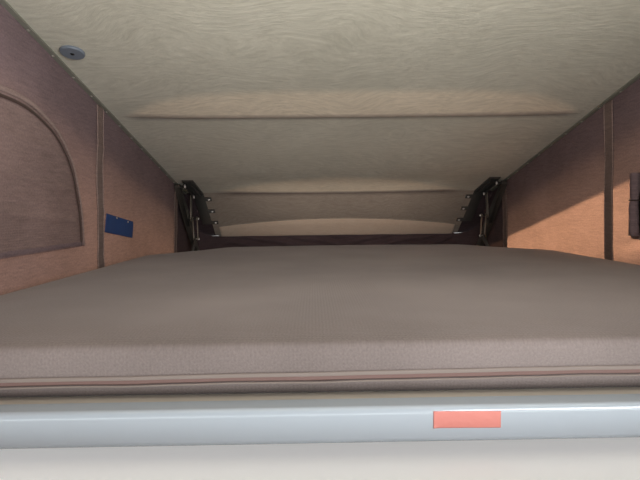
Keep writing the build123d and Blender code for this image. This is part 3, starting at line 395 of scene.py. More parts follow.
# ---- shared forms
ceiling = {"height": 0.175, "front": 1.047, "rear": -1.386, "half": 0.686, "corner": 0.108,
           "lip": (1.337, 0.0476), "ridgeHalf": 0.540, "ridgeDrop": 0.007,
           "ridges": ((0.117, 0.274, 0.625, 5), (0.823, 1.038, 0.540, 2)),  # start, end, half width, arch
           "creaseCuts": (-0.024, -0.008, -0.0006, 0.0006, 0.012, 0.034),
           "valanceDepth": 0.129, "valanceArch": 0.053,
           "valanceDrop": 0.006, "valanceHalf": 0.548, "thickness": 0.008}
wall = {"hem": 0.046, "bottom": 0.024, "baseHalf": (0.6669, 1.3849), "baseCorner": 0.0889,
        "topHalf": 0.6542, "topRear": -1.3752, "topFront": 1.3222, "topCorner": 0.0892,
        "topHeight": 0.183, "seam": 0.560, "belowCeiling": 0.0042,
        "keepTall": 0.15, "keepLow": 0.05}  # share of its height that the cloth keeps under the shut lid


# A place on the lid as it lies shut, moved to where the lid stands open
def lidPoint(x, y, z):
    turn = radians(-lidPose["tilt"])
    dy, dz = y - lidPose["pinShut"][0], z - lidPose["pinShut"][1]
    return Vector((x, lidPose["pinOpen"][0] + dy * cos(turn) - dz * sin(turn),
                   lidPose["pinOpen"][1] + dy * sin(turn) + dz * cos(turn)))


def makePiece(name, bm, body, material):
    mesh = bpy.data.meshes.new(name)
    bm.to_mesh(mesh)
    bm.free()
    mesh.materials.append(material)
    mesh.shade_smooth()
    piece = bpy.data.objects.new(name, mesh)
    bpy.context.scene.collection.objects.link(piece)
    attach(piece, body)
    return piece


# Makes the faces agree and turns them towards a direction
def faceTowards(bm, direction):
    bmesh.ops.recalc_face_normals(bm, faces=bm.faces)
    if sum(face.normal.dot(Vector(direction)) * face.calc_area() for face in bm.faces) < 0:
        bmesh.ops.reverse_faces(bm, faces=bm.faces)


def thicken(piece, thickness):
    body = piece.modifiers.new("body", "SOLIDIFY")
    body.thickness, body.offset = thickness, -1.0


# ---- ceiling
slopeFall = (ceiling["height"] - ceiling["lip"][1]) / (ceiling["lip"][0] - ceiling["front"])
slopeLength = hypot(ceiling["lip"][0] - ceiling["front"], ceiling["height"] - ceiling["lip"][1])


# How far the lining stands below the plain ceiling or slope, with its broad soft ridges
def liningDrop(x, y):
    drop = 0.0
    for start, end, half, arch in ceiling["ridges"]:
        room = 1.0 - abs(x / half) ** arch
        if room > 0 and y <= end:
            length = (end - start) * room
            drop = max(drop, ceiling["ridgeDrop"] * room * (y - (end - length)) / length)
    if y > ceiling["front"]:
        up = (ceiling["lip"][0] - y) / (ceiling["lip"][0] - ceiling["front"]) * slopeLength
        edge = ceiling["valanceDepth"] - ceiling["valanceArch"] * (x / ceiling["ridgeHalf"]) ** 2
        if up < edge and abs(x) < ceiling["ridgeHalf"] + 0.02:
            drop = ceiling["valanceDrop"] * min(1.0, (edge - up) / 0.03) ** 0.7
    return drop


def makeCeiling():
    bm = bmesh.new()
    length = ceiling["lip"][0] - ceiling["rear"]
    bmesh.ops.create_grid(bm, x_segments=112, y_segments=214, size=0.5)
    bmesh.ops.scale(bm, vec=(2 * ceiling["half"], length, 1), verts=bm.verts)
    bmesh.ops.translate(bm, vec=(0, ceiling["rear"] + length / 2, 0), verts=bm.verts)
    # close cuts make each step sharp and bound its crease, and the last one makes the fold to the slope
    cuts = [ridge[1] + away for ridge in ceiling["ridges"] for away in ceiling["creaseCuts"]]
    for y in cuts + [ceiling["front"]]:
        bmesh.ops.bisect_plane(bm, geom=bm.verts[:] + bm.edges[:] + bm.faces[:], dist=0.00005,
                               plane_co=(0, y, 0), plane_no=(0, 1, 0))
    bm.verts.ensure_lookup_table()
    corner = ceiling["corner"]
    ridgeHighlight = bm.verts.layers.float.new("ridge")
    creaseShadow = bm.verts.layers.float.new("crease")
    for vert in bm.verts:
        x, y = vert.co.x, vert.co.y
        for start, end, half, arch in ceiling["ridges"]:
            room = max(0.0, 1.0 - abs(x / half) ** arch)
            into = (y - end) / (end - start) + room
            if room > 0 and into > 0 and y < end:
                # painted highlight: each ridge band is made paler towards its step
                vert[ridgeHighlight] = min(1.0, 5.0 * room) * min(1.0, 4.5 * into)
            # painted shadow in the fold just behind each step
            if -0.0239 < y - end < 0.0339:
                near = (y - end + 0.024) / 0.016 if y < end else (0.034 - y + end) / 0.022
                vert[creaseShadow] = min(1.0, 3.0 * room) * min(1.0, near) * (0.8 if end < 0.5 else 1.0)
        # the rear corners are rounded as the lid's are
        behind = (ceiling["rear"] + corner) - y
        if behind > 0:
            room = ceiling["half"] - corner + sqrt(max(0.0, corner ** 2 - min(behind, corner) ** 2))
            x *= room / ceiling["half"]
        soft = 0.0011 * noise.noise(Vector((x * 3.1, y * 2.3, 1.7))) \
            + 0.0004 * noise.noise(Vector((x * 11, y * 9, 4.2)))
        z = ceiling["height"] - liningDrop(x, y) + soft * (1 if abs(x) < 0.64 else 0)
        if y > ceiling["front"]:
            z -= (y - ceiling["front"]) * slopeFall
        vert.co = lidPoint(x, y, z)
    faceTowards(bm, (0, 0, -1))
    piece = makePiece("ceilingLining", bm, "lid", suede)
    piece.data.materials.append(shadedSlopeSuede)
    piece.data.materials.append(shadedFrontCloth)
    front = lidPoint(0, ceiling["front"], ceiling["height"])
    for face in piece.data.polygons:  # the slope takes the darker suede, and the darker front cloth closes its corners outside the brackets: both painted shade
        if face.center.y > front.y:
            face.material_index = 1 if abs(face.center.x) < 0.578 else 2
    thicken(piece, ceiling["thickness"])
    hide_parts("headliner", "front_liner")


# Place on the front slope: across, and up from the lip along the slope, a little proud of the lining
def slopePoint(x, up, proud):
    share = up / slopeLength
    y = ceiling["lip"][0] - share * (ceiling["lip"][0] - ceiling["front"])
    z = ceiling["lip"][1] + share * (ceiling["height"] - ceiling["lip"][1]) - liningDrop(x, y)
    lean = atan2(ceiling["height"] - ceiling["lip"][1], ceiling["lip"][0] - ceiling["front"])
    return lidPoint(x, y - proud * sin(lean), z - proud * cos(lean))


# Padded valance over the low end of the slope: a paler cloth, painted light, with an arched and piped upper edge
def makeValance():
    def arch(x):
        return ceiling["valanceDepth"] - ceiling["valanceArch"] * (x / ceiling["ridgeHalf"]) ** 2
    bm = bmesh.new()
    bmesh.ops.create_grid(bm, x_segments=120, y_segments=18, size=1.0)
    for vert in bm.verts:
        x = vert.co.x * ceiling["valanceHalf"]
        share = (vert.co.y + 1) / 2
        soft = 0.0008 * noise.noise(Vector((x * 9, share * 2, 5)))
        vert.co = slopePoint(x, 0.002 + (arch(x) - 0.001) * share, 0.0012 + soft * sin(pi * share))
    faceTowards(bm, (0, 0, -1))
    pad = makePiece("valanceCloth", bm, "lid", valanceCloth)
    thicken(pad, 0.0012)
    bm = bmesh.new()
    bmesh.ops.create_grid(bm, x_segments=120, y_segments=6, size=1.0)
    for vert in bm.verts:
        x = vert.co.x * ceiling["valanceHalf"]
        around = pi * (vert.co.y + 1) / 2
        vert.co = slopePoint(x, arch(x) + 0.0016 * cos(around), 0.0010 + 0.0022 * sin(around))
    faceTowards(bm, (0, 0, -1))
    # the piping takes the darker slope suede: painted shade
    makePiece("valancePiping", bm, "lid", shadedSlopeSuede)


# A small turned or pressed metal part that stands on a surface, with an optional recess in its face
def makeStud(name, body, foot, toward, radius, height, material, sides=18, recess=0.0, ball=False):
    bm = bmesh.new()
    if ball:
        bmesh.ops.create_uvsphere(bm, u_segments=18, v_segments=12, radius=radius)
        bmesh.ops.translate(bm, verts=bm.verts, vec=(0, 0, height - radius))
        neck = bmesh.ops.create_cone(bm, cap_ends=True, segments=14, radius1=radius * 0.7, radius2=radius * 0.5,
                                     depth=height - radius)
        bmesh.ops.translate(bm, verts=neck["verts"], vec=(0, 0, (height - radius) / 2))
    else:
        bmesh.ops.create_cone(bm, cap_ends=True, segments=sides, radius1=radius, radius2=radius * 0.94, depth=height)
        bmesh.ops.translate(bm, verts=bm.verts, vec=(0, 0, height / 2))
        top = [face for face in bm.faces if face.normal.z > 0.9]
        rim = [edge for face in top for edge in face.edges]
        bmesh.ops.bevel(bm, geom=rim, offset=height * 0.4, segments=3, profile=0.5, affect="EDGES", material=-1)
        if recess:
            top = [face for face in bm.faces if face.normal.z > 0.99 and face.calc_area() > radius ** 2]
            bmesh.ops.inset_region(bm, faces=top, thickness=radius * (1 - recess) * 0.6)
            bmesh.ops.inset_region(bm, faces=top, thickness=radius * 0.06)
            bmesh.ops.translate(bm, verts=list({v for face in top for v in face.verts}), vec=(0, 0, -height * 0.5))
    turn = Vector((0, 0, 1)).rotation_difference(Vector(toward).normalized()).to_matrix()
    bmesh.ops.rotate(bm, verts=bm.verts, cent=(0, 0, 0), matrix=turn)
    bmesh.ops.translate(bm, verts=bm.verts, vec=foot)
    return makePiece(name, bm, body, material)


rivets = {"x": 0.6510, "first": -1.150, "pitch": 0.0885, "count": 25, "radius": 0.0034, "height": 0.0013}


# Blind rivets that hold the side strips to the lid, seen from below
def makeRivets():
    for side, word in ((-1, "Left"), (1, "Right")):
        bm = bmesh.new()
        for number in range(rivets["count"]):
            y = rivets["first"] + rivets["pitch"] * number + 0.0015 * noise.noise(Vector((number * 1.7, side, 0)))
            foot = lidPoint(side * rivets["x"], 0, ceiling["height"] - 0.0040)
            z = foot.z - (y - foot.y) * tan(radians(lidPose["tilt"]))
            head = bmesh.ops.create_cone(bm, cap_ends=True, segments=12, radius1=rivets["radius"],
                                         radius2=rivets["radius"] * 0.55, depth=rivets["height"])["verts"]
            tip = bmesh.ops.create_cone(bm, cap_ends=True, segments=8, radius1=0.0011, radius2=0.0009,
                                        depth=0.0006)["verts"]
            bmesh.ops.translate(bm, verts=head, vec=(0, 0, rivets["height"] / 2))
            bmesh.ops.translate(bm, verts=tip, vec=(0, 0, rivets["height"] + 0.0002))
            turn = Matrix.Rotation(pi - radians(lidPose["tilt"]), 3, "X")
            bmesh.ops.rotate(bm, verts=head + tip, cent=(0, 0, 0), matrix=turn)
            bmesh.ops.translate(bm, verts=head + tip, vec=(foot.x, y, z))
        makePiece("stripRivets" + word, bm, "lid", rivetSteel)


makeCeiling()
makeValance()
makeRivets()
down = lidPoint(0, 0, -1) - lidPoint(0, 0, 0)
makeStud("capScrew", "lid", lidPoint(-0.606, -0.0500, ceiling["height"] - 0.0056), down, 0.0042, 0.0012,
         capScrewBlack, recess=0.55)
print("stage: ceiling")


# ---- canvas walls
# Lowest and highest point of the wall at a run of metres round one side from the front seam
def wallLine(side, run):
    half, corner = wall["baseHalf"], wall["baseCorner"]
    topCorner = wall["topCorner"]
    straight = half[0] - corner
    topStraight = wall["topHalf"] - topCorner
    stub, arc, line = straight - wall["seam"], corner * pi / 2, 2 * (half[1] - corner)
    topFrontY, topRearY = wall["topFront"] - topCorner, wall["topRear"] + topCorner
    topStub = topStraight - wall["seam"]
    if run < stub:
        share = run / stub
        low, high = (wall["seam"] + stub * share, half[1]), (wall["seam"] + topStub * share, wall["topFront"])
        inward = Vector((0, -1, 0))
    elif run < stub + arc:
        angle = pi / 2 * (1 - (run - stub) / arc)
        low = (straight + corner * cos(angle), half[1] - corner + corner * sin(angle))
        high = (topStraight + topCorner * cos(angle), topFrontY + topCorner * sin(angle))
        inward = Vector((-side * cos(angle), -sin(angle), 0))
    elif run < stub + arc + line:
        share = (run - stub - arc) / line
        low = (half[0], (half[1] - corner) * (1 - 2 * share))
        high = (wall["topHalf"], topFrontY + (topRearY - topFrontY) * share)
        inward = Vector((-side, 0, 0))
    elif run < stub + 2 * arc + line:
        angle = -pi / 2 * (run - stub - arc - line) / arc
        low = (straight + corner * cos(angle), -half[1] + corner + corner * sin(angle))
        high = (topStraight + topCorner * cos(angle), topRearY + topCorner * sin(angle))
        inward = Vector((-side * cos(angle), -sin(angle), 0))
    else:
        share = min(1.0, (run - stub - 2 * arc - line) / stub)
        low = (straight - stub * share, -half[1])
        high = (topStraight - topStub * share, wall["topRear"])
        inward = Vector((0, 1, 0))
    return ruled(side * low[0], low[1], side * high[0], high[1]), inward


wallRun = 2 * (wall["baseHalf"][0] - wall["baseCorner"] - wall["seam"]) + pi * wall["baseCorner"] \
    + 2 * (wall["baseHalf"][1] - wall["baseCorner"])


# The straight thread from the hem to just under the lining, for one place round the wall
def ruled(lowX, lowY, highX, highY):
    low = Vector((lowX, lowY, wall["hem"]))
    high = lidPoint(highX, highY, wall["topHeight"])
    turn = radians(lidPose["tilt"])

    def onLid(point):
        dy, dz = point.y - lidPose["pinOpen"][0], point.z - lidPose["pinOpen"][1]
        return (lidPose["pinShut"][0] + dy * cos(turn) - dz * sin(turn),
                lidPose["pinShut"][1] + dy * sin(turn) + dz * cos(turn))
    (y0, z0), (y1, z1) = onLid(low), onLid(high)
    share = (ceiling["height"] - wall["belowCeiling"] - z0) / (z1 - z0)
    # against the slope: height + slopeFall * (y - front) stays under the ceiling's height
    drop = wall["belowCeiling"] * sqrt(1 + slopeFall ** 2)
    slopeShare = (ceiling["height"] - drop - z0 - slopeFall * (y0 - ceiling["front"])) \
        / ((z1 - z0) + slopeFall * (y1 - y0))
    if y0 + (y1 - y0) * slopeShare > ceiling["front"]:
        share = min(share, slopeShare)
    return low, low.lerp(high, share)


# Soft folds of the cloth, inward in metres; they die out at the hem and at the top
def billow(side, y, z, low, high):
    share = (z - low) / max(high - low, 0.01)
    if share <= 0 or share >= 1:
        return 0.0
    edge = min(1.0, 6 * share, 5 * (1 - share))
    broad = noise.noise(Vector((y * 1.3 + 3 * side, z * 2.1, side * 5.0)))
    fine = noise.noise(Vector((y * 5.5 + 2 * z, z * 7.0 - y * 3, side * 9.0)))
    crease = noise.noise(Vector((y * 14 - z * 10, z * 6 + y * 4, side * 3.0)))
    slack = max(0.0, sin((z + 0.21 * y + 0.03 * broad) * 2 * pi / 0.088)) ** 2 * max(0.0, fine + 0.25)
    return edge * (0.0048 * broad + 0.0030 * fine + 0.0014 * crease + 0.0024 * slack)


def sidePoint(side, run, rise):
    (low, high), inward = wallLine(side, run)
    point = low.lerp(high, rise) if rise >= 0 else Vector((low.x, low.y, wall["bottom"]))
    soft = billow(side, point.y, point.z, low.z, high.z) if rise > 0 else 0.0
    corner = 1.0 if abs(inward.x) > 0.99 else abs(inward.x) ** 2
    return point + inward * (soft * corner)


window = {"middle": -0.090, "half": 0.312, "bottom": 0.166, "height": 0.296}
straps = {"places": (0.320, 1.020), "half": 0.019, "foot": 0.045, "thickness": 0.0016}


def makeSideWall(side, name, columns=340, rows=72):
    bm = bmesh.new()
    bmesh.ops.create_grid(bm, x_segments=columns, y_segments=rows, size=1.0)
    for vert in bm.verts:
        run = wallRun * (1 - vert.co.x) / 2
        rise = (vert.co.y + 1) / 2 * (1 + 1 / rows) - 1 / rows
        vert.co = sidePoint(side, run, rise if rise > 0.25 / rows else (0.0 if rise > -0.5 / rows else -1.0))
    if side > 0:  # the right window stands open behind its net
        def outside(vert):
            return ((vert.co.y - window["middle"]) / window["half"]) ** 2 \
                + (max(0.0, vert.co.z - window["bottom"]) / window["height"]) ** 2
        inner = [face for face in bm.faces
                 if face.calc_center_median().z > window["bottom"]
                 and abs(face.calc_center_median().y) < 0.6 and max(outside(v) for v in face.verts) < 1.0
                 and min(v.co.z for v in face.verts) > window["bottom"]]
        bmesh.ops.delete(bm, geom=inner, context="FACES")
    faceTowards(bm, (side, 0, 0))
    piece = makePiece(name, bm, "base", canvasCloth)
    piece.data.materials.append(shadedFrontCloth)
    for face in piece.data.polygons:  # the darker front cloth from the second strap round to the front seam: painted shade
        if face.center.y > straps["places"][1]:
            face.material_index = 1
    print(name, "area", round(sum(p.area for p in piece.data.polygons), 3))
    return piece


def makeEndWall(end, name, columns, rows):
    bm = bmesh.new()
    bmesh.ops.create_grid(bm, x_segments=columns, y_segments=rows, size=1.0)
    lowY = wall["baseHalf"][1] * end
    highY = wall["topFront"] if end > 0 else wall["topRear"]
    for vert in bm.verts:
        x = vert.co.x * wall["seam"]
        low, high = ruled(x, lowY, x, highY)
        rise = (vert.co.y + 1) / 2 * (1 + 1 / rows) - 1 / rows
        if rise < -0.5 / rows:
            point = Vector((x, lowY, wall["bottom"]))
            soft = 0.0
        else:
            rise = max(0.0, rise)
            point = low.lerp(high, rise)
            edge = min(1.0, 5 * rise, 4 * (1 - rise)) * min(1.0, 12 * (1 - abs(vert.co.x)))
            if end > 0:  # slack, with slanting folds
                sway = noise.noise(Vector((x * 6, 0, 2)))
                soft = edge * (0.0085 * sin(abs(x) * 30 - point.z * 150 + 3 * sway)
                               + 0.0035 * noise.noise(Vector((x * 9, point.z * 14, 1))))
            else:
                soft = edge * (0.005 * noise.noise(Vector((x * 2.2, point.z * 2.4, 8)))
                               + 0.0022 * noise.noise(Vector((x * 8, point.z * 6, 3))))
        vert.co = point + Vector((0, -end * (soft + (0.0 if end < 0 else 0.001)), 0))
    faceTowards(bm, (0, end, 0))
    # the front wall takes the darker cloth: painted shade under the nose
    piece = makePiece(name, bm, "base", shadedFrontCloth if end > 0 else canvasCloth)
    print(name, "area", round(sum(p.area for p in piece.data.polygons), 3))
    return piece


# Cloth cannot follow the lid; this only gives the piece a mesh of its own
def fold(piece):
    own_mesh(piece)


leftWall = makeSideWall(-1, "canvasLeft")
rightWall = makeSideWall(1, "canvasRight")
frontWall = makeEndWall(1, "canvasFront", 260, 16)
rearWall = makeEndWall(-1, "canvasRear", 110, 72)
for piece, node in ((leftWall, "canvas_left"), (rightWall, "canvas_right"),
                    (frontWall, "canvas_front"), (rearWall, "canvas_rear")):
    fold(piece)
    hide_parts(node)
print("stage: canvas")


# ---- what is sewn to the walls
# Top of the side wall under the lining, at a place along the van
def wallTop(y):
    middle = lidPoint(0, 0, ceiling["height"] - wall["belowCeiling"])
    flat = middle.z - (y - middle.y) * tan(radians(lidPose["tilt"]))
    high = lidPoint(0, ceiling["front"], ceiling["height"])
    low = lidPoint(0, *ceiling["lip"])
    steep = high.z - (y - high.y) * (high.z - low.z) / (low.y - high.y) - 0.006
    return min(flat, steep)


# A place on the inside of a side wall, a little proud of the cloth
def onWall(side, y, z, proud):
    middle = lidPoint(0, 0, wall["topHeight"])
    highZ = middle.z - (y - middle.y) * tan(radians(lidPose["tilt"]))
    share = (z - wall["hem"]) / (highZ - wall["hem"])
    x = wall["baseHalf"][0] + (wall["topHalf"] - wall["baseHalf"][0]) * max(0.0, share)
    soft = billow(side, y, z, wall["hem"], wallTop(y))
    return Vector((side * (x - proud - soft), y, z))


# A narrow band laid on a wall along a path of (y, z) places, crowned across its width
def wallBand(name, side, path, half, proud, crown, material, rows, columns=4, thick=0.0):
    bm = bmesh.new()
    bmesh.ops.create_grid(bm, x_segments=columns, y_segments=rows, size=1.0)
    for vert in bm.verts:
        across, share = vert.co.x, (vert.co.y + 1) / 2
        y, z = path(share)
        y0, z0 = path(max(0.0, share - 0.004))
        y1, z1 = path(min(1.0, share + 0.004))
        length = max(hypot(y1 - y0, z1 - z0), 1e-6)
        y, z = y - across * half * (z1 - z0) / length, z + across * half * (y1 - y0) / length
        vert.co = onWall(side, y, z, proud + crown * (1 - across ** 2))
    faceTowards(bm, (-side, 0, 0))
    piece = makePiece(name, bm, "base", material)
    if thick:
        thicken(piece, thick)
    fold(piece)
    return piece


def makeStraps():
    for side, word in ((-1, "left"), (1, "right")):
        for number, place in enumerate(straps["places"]):
            top = wallTop(place) + 0.001

            def path(share, place=place, top=top):
                return place, straps["foot"] + (top - straps["foot"]) * share
            label = f"{word}{number + 1}"
            wallBand("strap." + label, side, path, straps["half"], 0.0024, 0.0,
                                  webbing, 60, 6, thick=straps["thickness"])
            for edge in (-1, 1):
                def edgePath(share, place=place, top=top, edge=edge):
                    return place + edge * (straps["half"] - 0.0015), straps["foot"] + (top - straps["foot"]) * share
                wallBand(f"strapEdge.{label}.{'near' if edge < 0 else 'far'}", side, edgePath,
                                      0.0022, 0.0025, 0.0014, piping, 60, 4)
        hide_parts("canvas_straps_" + word)


flap = {"half": 0.318, "height": 0.302, "bottom": 0.160, "power": 2.35, "proud": 0.0022}


def flapEdge(angle, inset=0.0):
    half, height = flap["half"] - inset, flap["height"] - inset
    y = window["middle"] + half * (1 if cos(angle) > 0 else -1) * abs(cos(angle)) ** (2 / flap["power"])
    return y, flap["bottom"] + height * abs(sin(angle)) ** (2 / flap["power"])


# The closed flap of the left window, with the soft sideways folds that it keeps from being rolled
def makeFlap():
    bm = bmesh.new()
    bmesh.ops.create_grid(bm, x_segments=96, y_segments=56, size=1.0)
    for vert in bm.verts:
        angle = pi * (vert.co.x + 1) / 2
        y, edgeZ = flapEdge(angle)
        share = (vert.co.y + 1) / 2
        z = flap["bottom"] + (edgeZ - flap["bottom"]) * share
        inside = (abs(y - window["middle"]) / flap["half"]) ** flap["power"] \
            + ((z - flap["bottom"]) / flap["height"]) ** flap["power"]
        room = min(1.0, 6 * share) * min(1.0, 6 * max(0.0, 0.84 - inside))
        swing = 0.020 * noise.noise(Vector((y * 4, z * 3, 1)))
        crest = 0.0042 * max(0.0, sin((z + 0.12 * y + swing) * 2 * pi / 0.071)) ** 3
        ripple = 0.0030 * noise.noise(Vector((y * 7, z * 12, 6.0)))
        vert.co = onWall(-1, y, z, flap["proud"] + room * (max(0.0, crest + ripple) + 0.0015))
    bmesh.ops.remove_doubles(bm, verts=bm.verts, dist=0.00005)
    faceTowards(bm, (1, 0, 0))
    piece = makePiece("windowFlapLeft", bm, "base", litFlapCloth)
    fold(piece)
    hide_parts("window_flap_left")

    def arch(share):
        return flapEdge(pi * share, 0.006)

    def innerArch(share):
        return flapEdge(pi * share, 0.019)

    def foot(share):
        return window["middle"] - flap["half"] + 2 * flap["half"] * share, flap["bottom"] + 0.004
    wallBand("flapBinding", -1, arch, 0.0045, 0.0048, 0.0016, piping, 120)
    wallBand("flapZip", -1, innerArch, 0.0030, 0.0046, 0.0014, zipDark, 120)
    wallBand("flapHem", -1, foot, 0.0055, 0.0046, 0.0012, canvasCloth, 60)


# The open right window: its net, and the binding and zip round it
def makeOpenWindow():
    bm = bmesh.new()
    bmesh.ops.create_grid(bm, x_segments=72, y_segments=36, size=1.0)
    for vert in bm.verts:
        angle = pi * (vert.co.x + 1) / 2
        y = window["middle"] + (window["half"] + 0.006) * cos(angle)
        z = window["bottom"] - 0.004 + (window["height"] + 0.010) * sin(angle) * (vert.co.y + 1) / 2
        vert.co = onWall(1, y, z, -0.0003)
    bmesh.ops.remove_doubles(bm, verts=bm.verts, dist=0.00005)
    bmesh.ops.recalc_face_normals(bm, faces=bm.faces)
    net = makePiece("windowNetRight", bm, "base", screenCloth)
    fold(net)
    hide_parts("window_screen_right")

    def arch(share):
        angle = pi * share
        return (window["middle"] + window["half"] * cos(angle), window["bottom"] + window["height"] * sin(angle))

    def outerArch(share):
        angle = pi * share
        return (window["middle"] + (window["half"] + 0.010) * cos(angle),
                window["bottom"] + (window["height"] + 0.010) * sin(angle))

    def foot(share):
        return window["middle"] - window["half"] + 2 * window["half"] * share, window["bottom"]
    wallBand("netBinding", 1, arch, 0.0075, 0.0016, 0.0012, piping, 120)
    wallBand("netZip", 1, outerArch, 0.0030, 0.0022, 0.0014, zipDark, 120)
    wallBand("netFoot", 1, foot, 0.0075, 0.0016, 0.0012, piping, 60)


roll = {"y": 0.193, "bottom": 0.168, "length": 0.148, "inner": 0.0026, "outer": 0.0112, "turns": 7.5,
        "ties": (0.252,), "away": 0.0140, "middleX": 0.648}


# The open window's flap, wound round itself and tied to the wall
def makeRoll():
    bm = bmesh.new()
    bmesh.ops.create_grid(bm, x_segments=200, y_segments=34, size=1.0)
    for vert in bm.verts:
        share, up = (vert.co.x + 1) / 2, (vert.co.y + 1) / 2
        angle = 2 * pi * roll["turns"] * sqrt(share)
        radius = roll["inner"] + (roll["outer"] - roll["inner"]) * sqrt(share)
        z = roll["bottom"] + roll["length"] * up
        tied = sum(exp(-((z - tie) / 0.012) ** 2) for tie in roll["ties"])
        radius *= 1 - 0.14 * tied + 0.05 * noise.noise(Vector((cos(angle) * 1.5, sin(angle) * 1.5, z * 22)))
        seat = onWall(1, roll["y"], z, 0.0)
        vert.co = Vector((seat.x - roll["away"] - radius * cos(angle), roll["y"] + radius * sin(angle), z))
    bmesh.ops.recalc_face_normals(bm, faces=bm.faces)
    core = Vector((roll["middleX"], roll["y"], 0))
    if sum(face.normal.dot((face.calc_center_median() - core) * Vector((1, 1, 0))) for face in bm.faces) < 0:
        bmesh.ops.reverse_faces(bm, faces=bm.faces)
    piece = makePiece("windowFlapRolled", bm, "base", canvasCloth)
    fold(piece)
    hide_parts("window_flap_roll_right")
    for number, z in enumerate(roll["ties"]):
        bm = bmesh.new()
        bmesh.ops.create_circle(bm, segments=10, radius=0.0013)
        bmesh.ops.rotate(bm, verts=bm.verts, cent=(0, 0, 0), matrix=Matrix.Rotation(pi / 2, 3, "X"))
        bmesh.ops.translate(bm, verts=bm.verts, vec=(roll["outer"] * 0.90 + 0.0010, 0, 0))
        bmesh.ops.spin(bm, geom=bm.verts[:] + bm.edges[:], cent=(0, 0, 0), axis=(0, 0, 1), angle=2 * pi,
                       steps=28, use_merge=True, use_duplicate=False)
        bmesh.ops.remove_doubles(bm, verts=bm.verts, dist=0.00002)
        bmesh.ops.recalc_face_normals(bm, faces=bm.faces)
        seat = onWall(1, roll["y"], z, 0.0)
        bmesh.ops.translate(bm, verts=bm.verts, vec=(seat.x - roll["away"], roll["y"], z))
        tie = makePiece(f"rollTie.{number + 1}", bm, "base", zipDark)
        fold(tie)


label = {"middle": (0.450, 0.197), "length": 0.205, "width": 0.050, "tilt": 7.5}


# Blank navy cloth pinned to the left wall
def makeLabel():
    lean = radians(label["tilt"])

    def path(share):
        away = (share - 0.5) * label["length"]
        return label["middle"][0] + away * cos(lean), label["middle"][1] - away * sin(lean)
    cloth = wallBand("labelBlank", -1, path, label["width"] / 2, 0.0028, 0.0008, labelCloth,
                     60, 16, thick=0.0008)
    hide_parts("canvas_label")
    for number, (away, up) in enumerate(((-0.030, 0.021), (0.056, 0.019))):
        bm = bmesh.new()
        bmesh.ops.create_uvsphere(bm, u_segments=14, v_segments=8, radius=0.0028)
        bmesh.ops.scale(bm, verts=bm.verts, vec=(0.55, 1, 1))
        y = label["middle"][0] + away * cos(lean)
        z = label["middle"][1] - away * sin(lean) + up
        bmesh.ops.translate(bm, verts=bm.verts, vec=onWall(-1, y, z, 0.0048))
        fold(makePiece(f"labelStud.{number + 1}", bm, "base", rivetSteel))


makeStraps()
makeFlap()
makeOpenWindow()
makeRoll()
makeLabel()
print("stage: straps, windows and label")


# ---- mattress
mattress = {"bottom": 0.0483, "voxel": 0.010, "pressure": 4.0, "cap": 0.006, "inset": 0.004,
            "zip": 0.0660, "tuck": 0.002, "frames": 20, "frontFrom": -0.470, "sideFrom": 0.634}


# Box form of the foam from its CAD node, swollen a little by pressure in its cover
def makeMattress():
    mesh = nodes["mattress"].data.copy()
    mesh.name = "mattressCover"
    mesh.materials.clear()
    mesh.materials.append(cover)
    piece = bpy.data.objects.new("mattressCover", mesh)
    bpy.context.scene.collection.objects.link(piece)
    bm = bmesh.new()
    bm.from_mesh(mesh)
    bmesh.ops.remove_doubles(bm, verts=bm.verts, dist=0.00005)
    middleY = sum(v.co.y for v in bm.verts) / len(bm.verts)
    for vert in bm.verts:  # the pad swells, so it starts a little small
        vert.co.x *= 1 - mattress["inset"] / 0.65
        vert.co.y += -mattress["inset"] if vert.co.y > middleY else mattress["inset"]
    bm.to_mesh(mesh)
    bm.free()
    bpy.context.view_layer.objects.active = piece
    piece.select_set(True)
    remesh = piece.modifiers.new("skin", "REMESH")
    remesh.mode, remesh.voxel_size = "VOXEL", mattress["voxel"]
    bpy.ops.object.modifier_apply(modifier="skin")
    start = [vert.co.copy() for vert in piece.data.vertices]
    swell = piece.modifiers.new("swell", "CLOTH")
    swell.settings.use_pressure = True
    swell.settings.uniform_pressure_force = mattress["pressure"]
    swell.settings.effector_weights.gravity = 0
    swell.settings.quality = 5
    swell.point_cache.frame_start, swell.point_cache.frame_end = 1, mattress["frames"]
    for number in range(1, mattress["frames"] + 1):
        bpy.context.scene.frame_set(number)
    bpy.ops.object.modifier_apply(modifier="swell")
    bpy.context.scene.frame_set(1)
    for vert, was in zip(piece.data.vertices, start):
        move = vert.co - was
        if move.length > mattress["cap"]:
            move *= mattress["cap"] / move.length
        vert.co = was + move
        under = max(0.0, mattress["zip"] - 0.004 - vert.co.z) / 0.014  # the cover tucks in under the zip
        if vert.co.y < mattress["frontFrom"]:
            vert.co.y += mattress["tuck"] * under ** 2
        if abs(vert.co.x) > mattress["sideFrom"]:
            vert.co.x -= mattress["tuck"] * under ** 2 * (1 if vert.co.x > 0 else -1)
        vert.co.z = max(vert.co.z, mattress["bottom"] + 0.0002)
    piece.select_set(False)
    smooth = piece.modifiers.new("soften", "SUBSURF")
    smooth.levels = smooth.render_levels = 1
    mesh = piece.data
    mesh.shade_smooth()
    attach(piece, "base")
    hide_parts("mattress")
    return piece


edging = {"half": 0.652, "near": -0.488, "corner": 0.040, "sideEnd": 0.480}


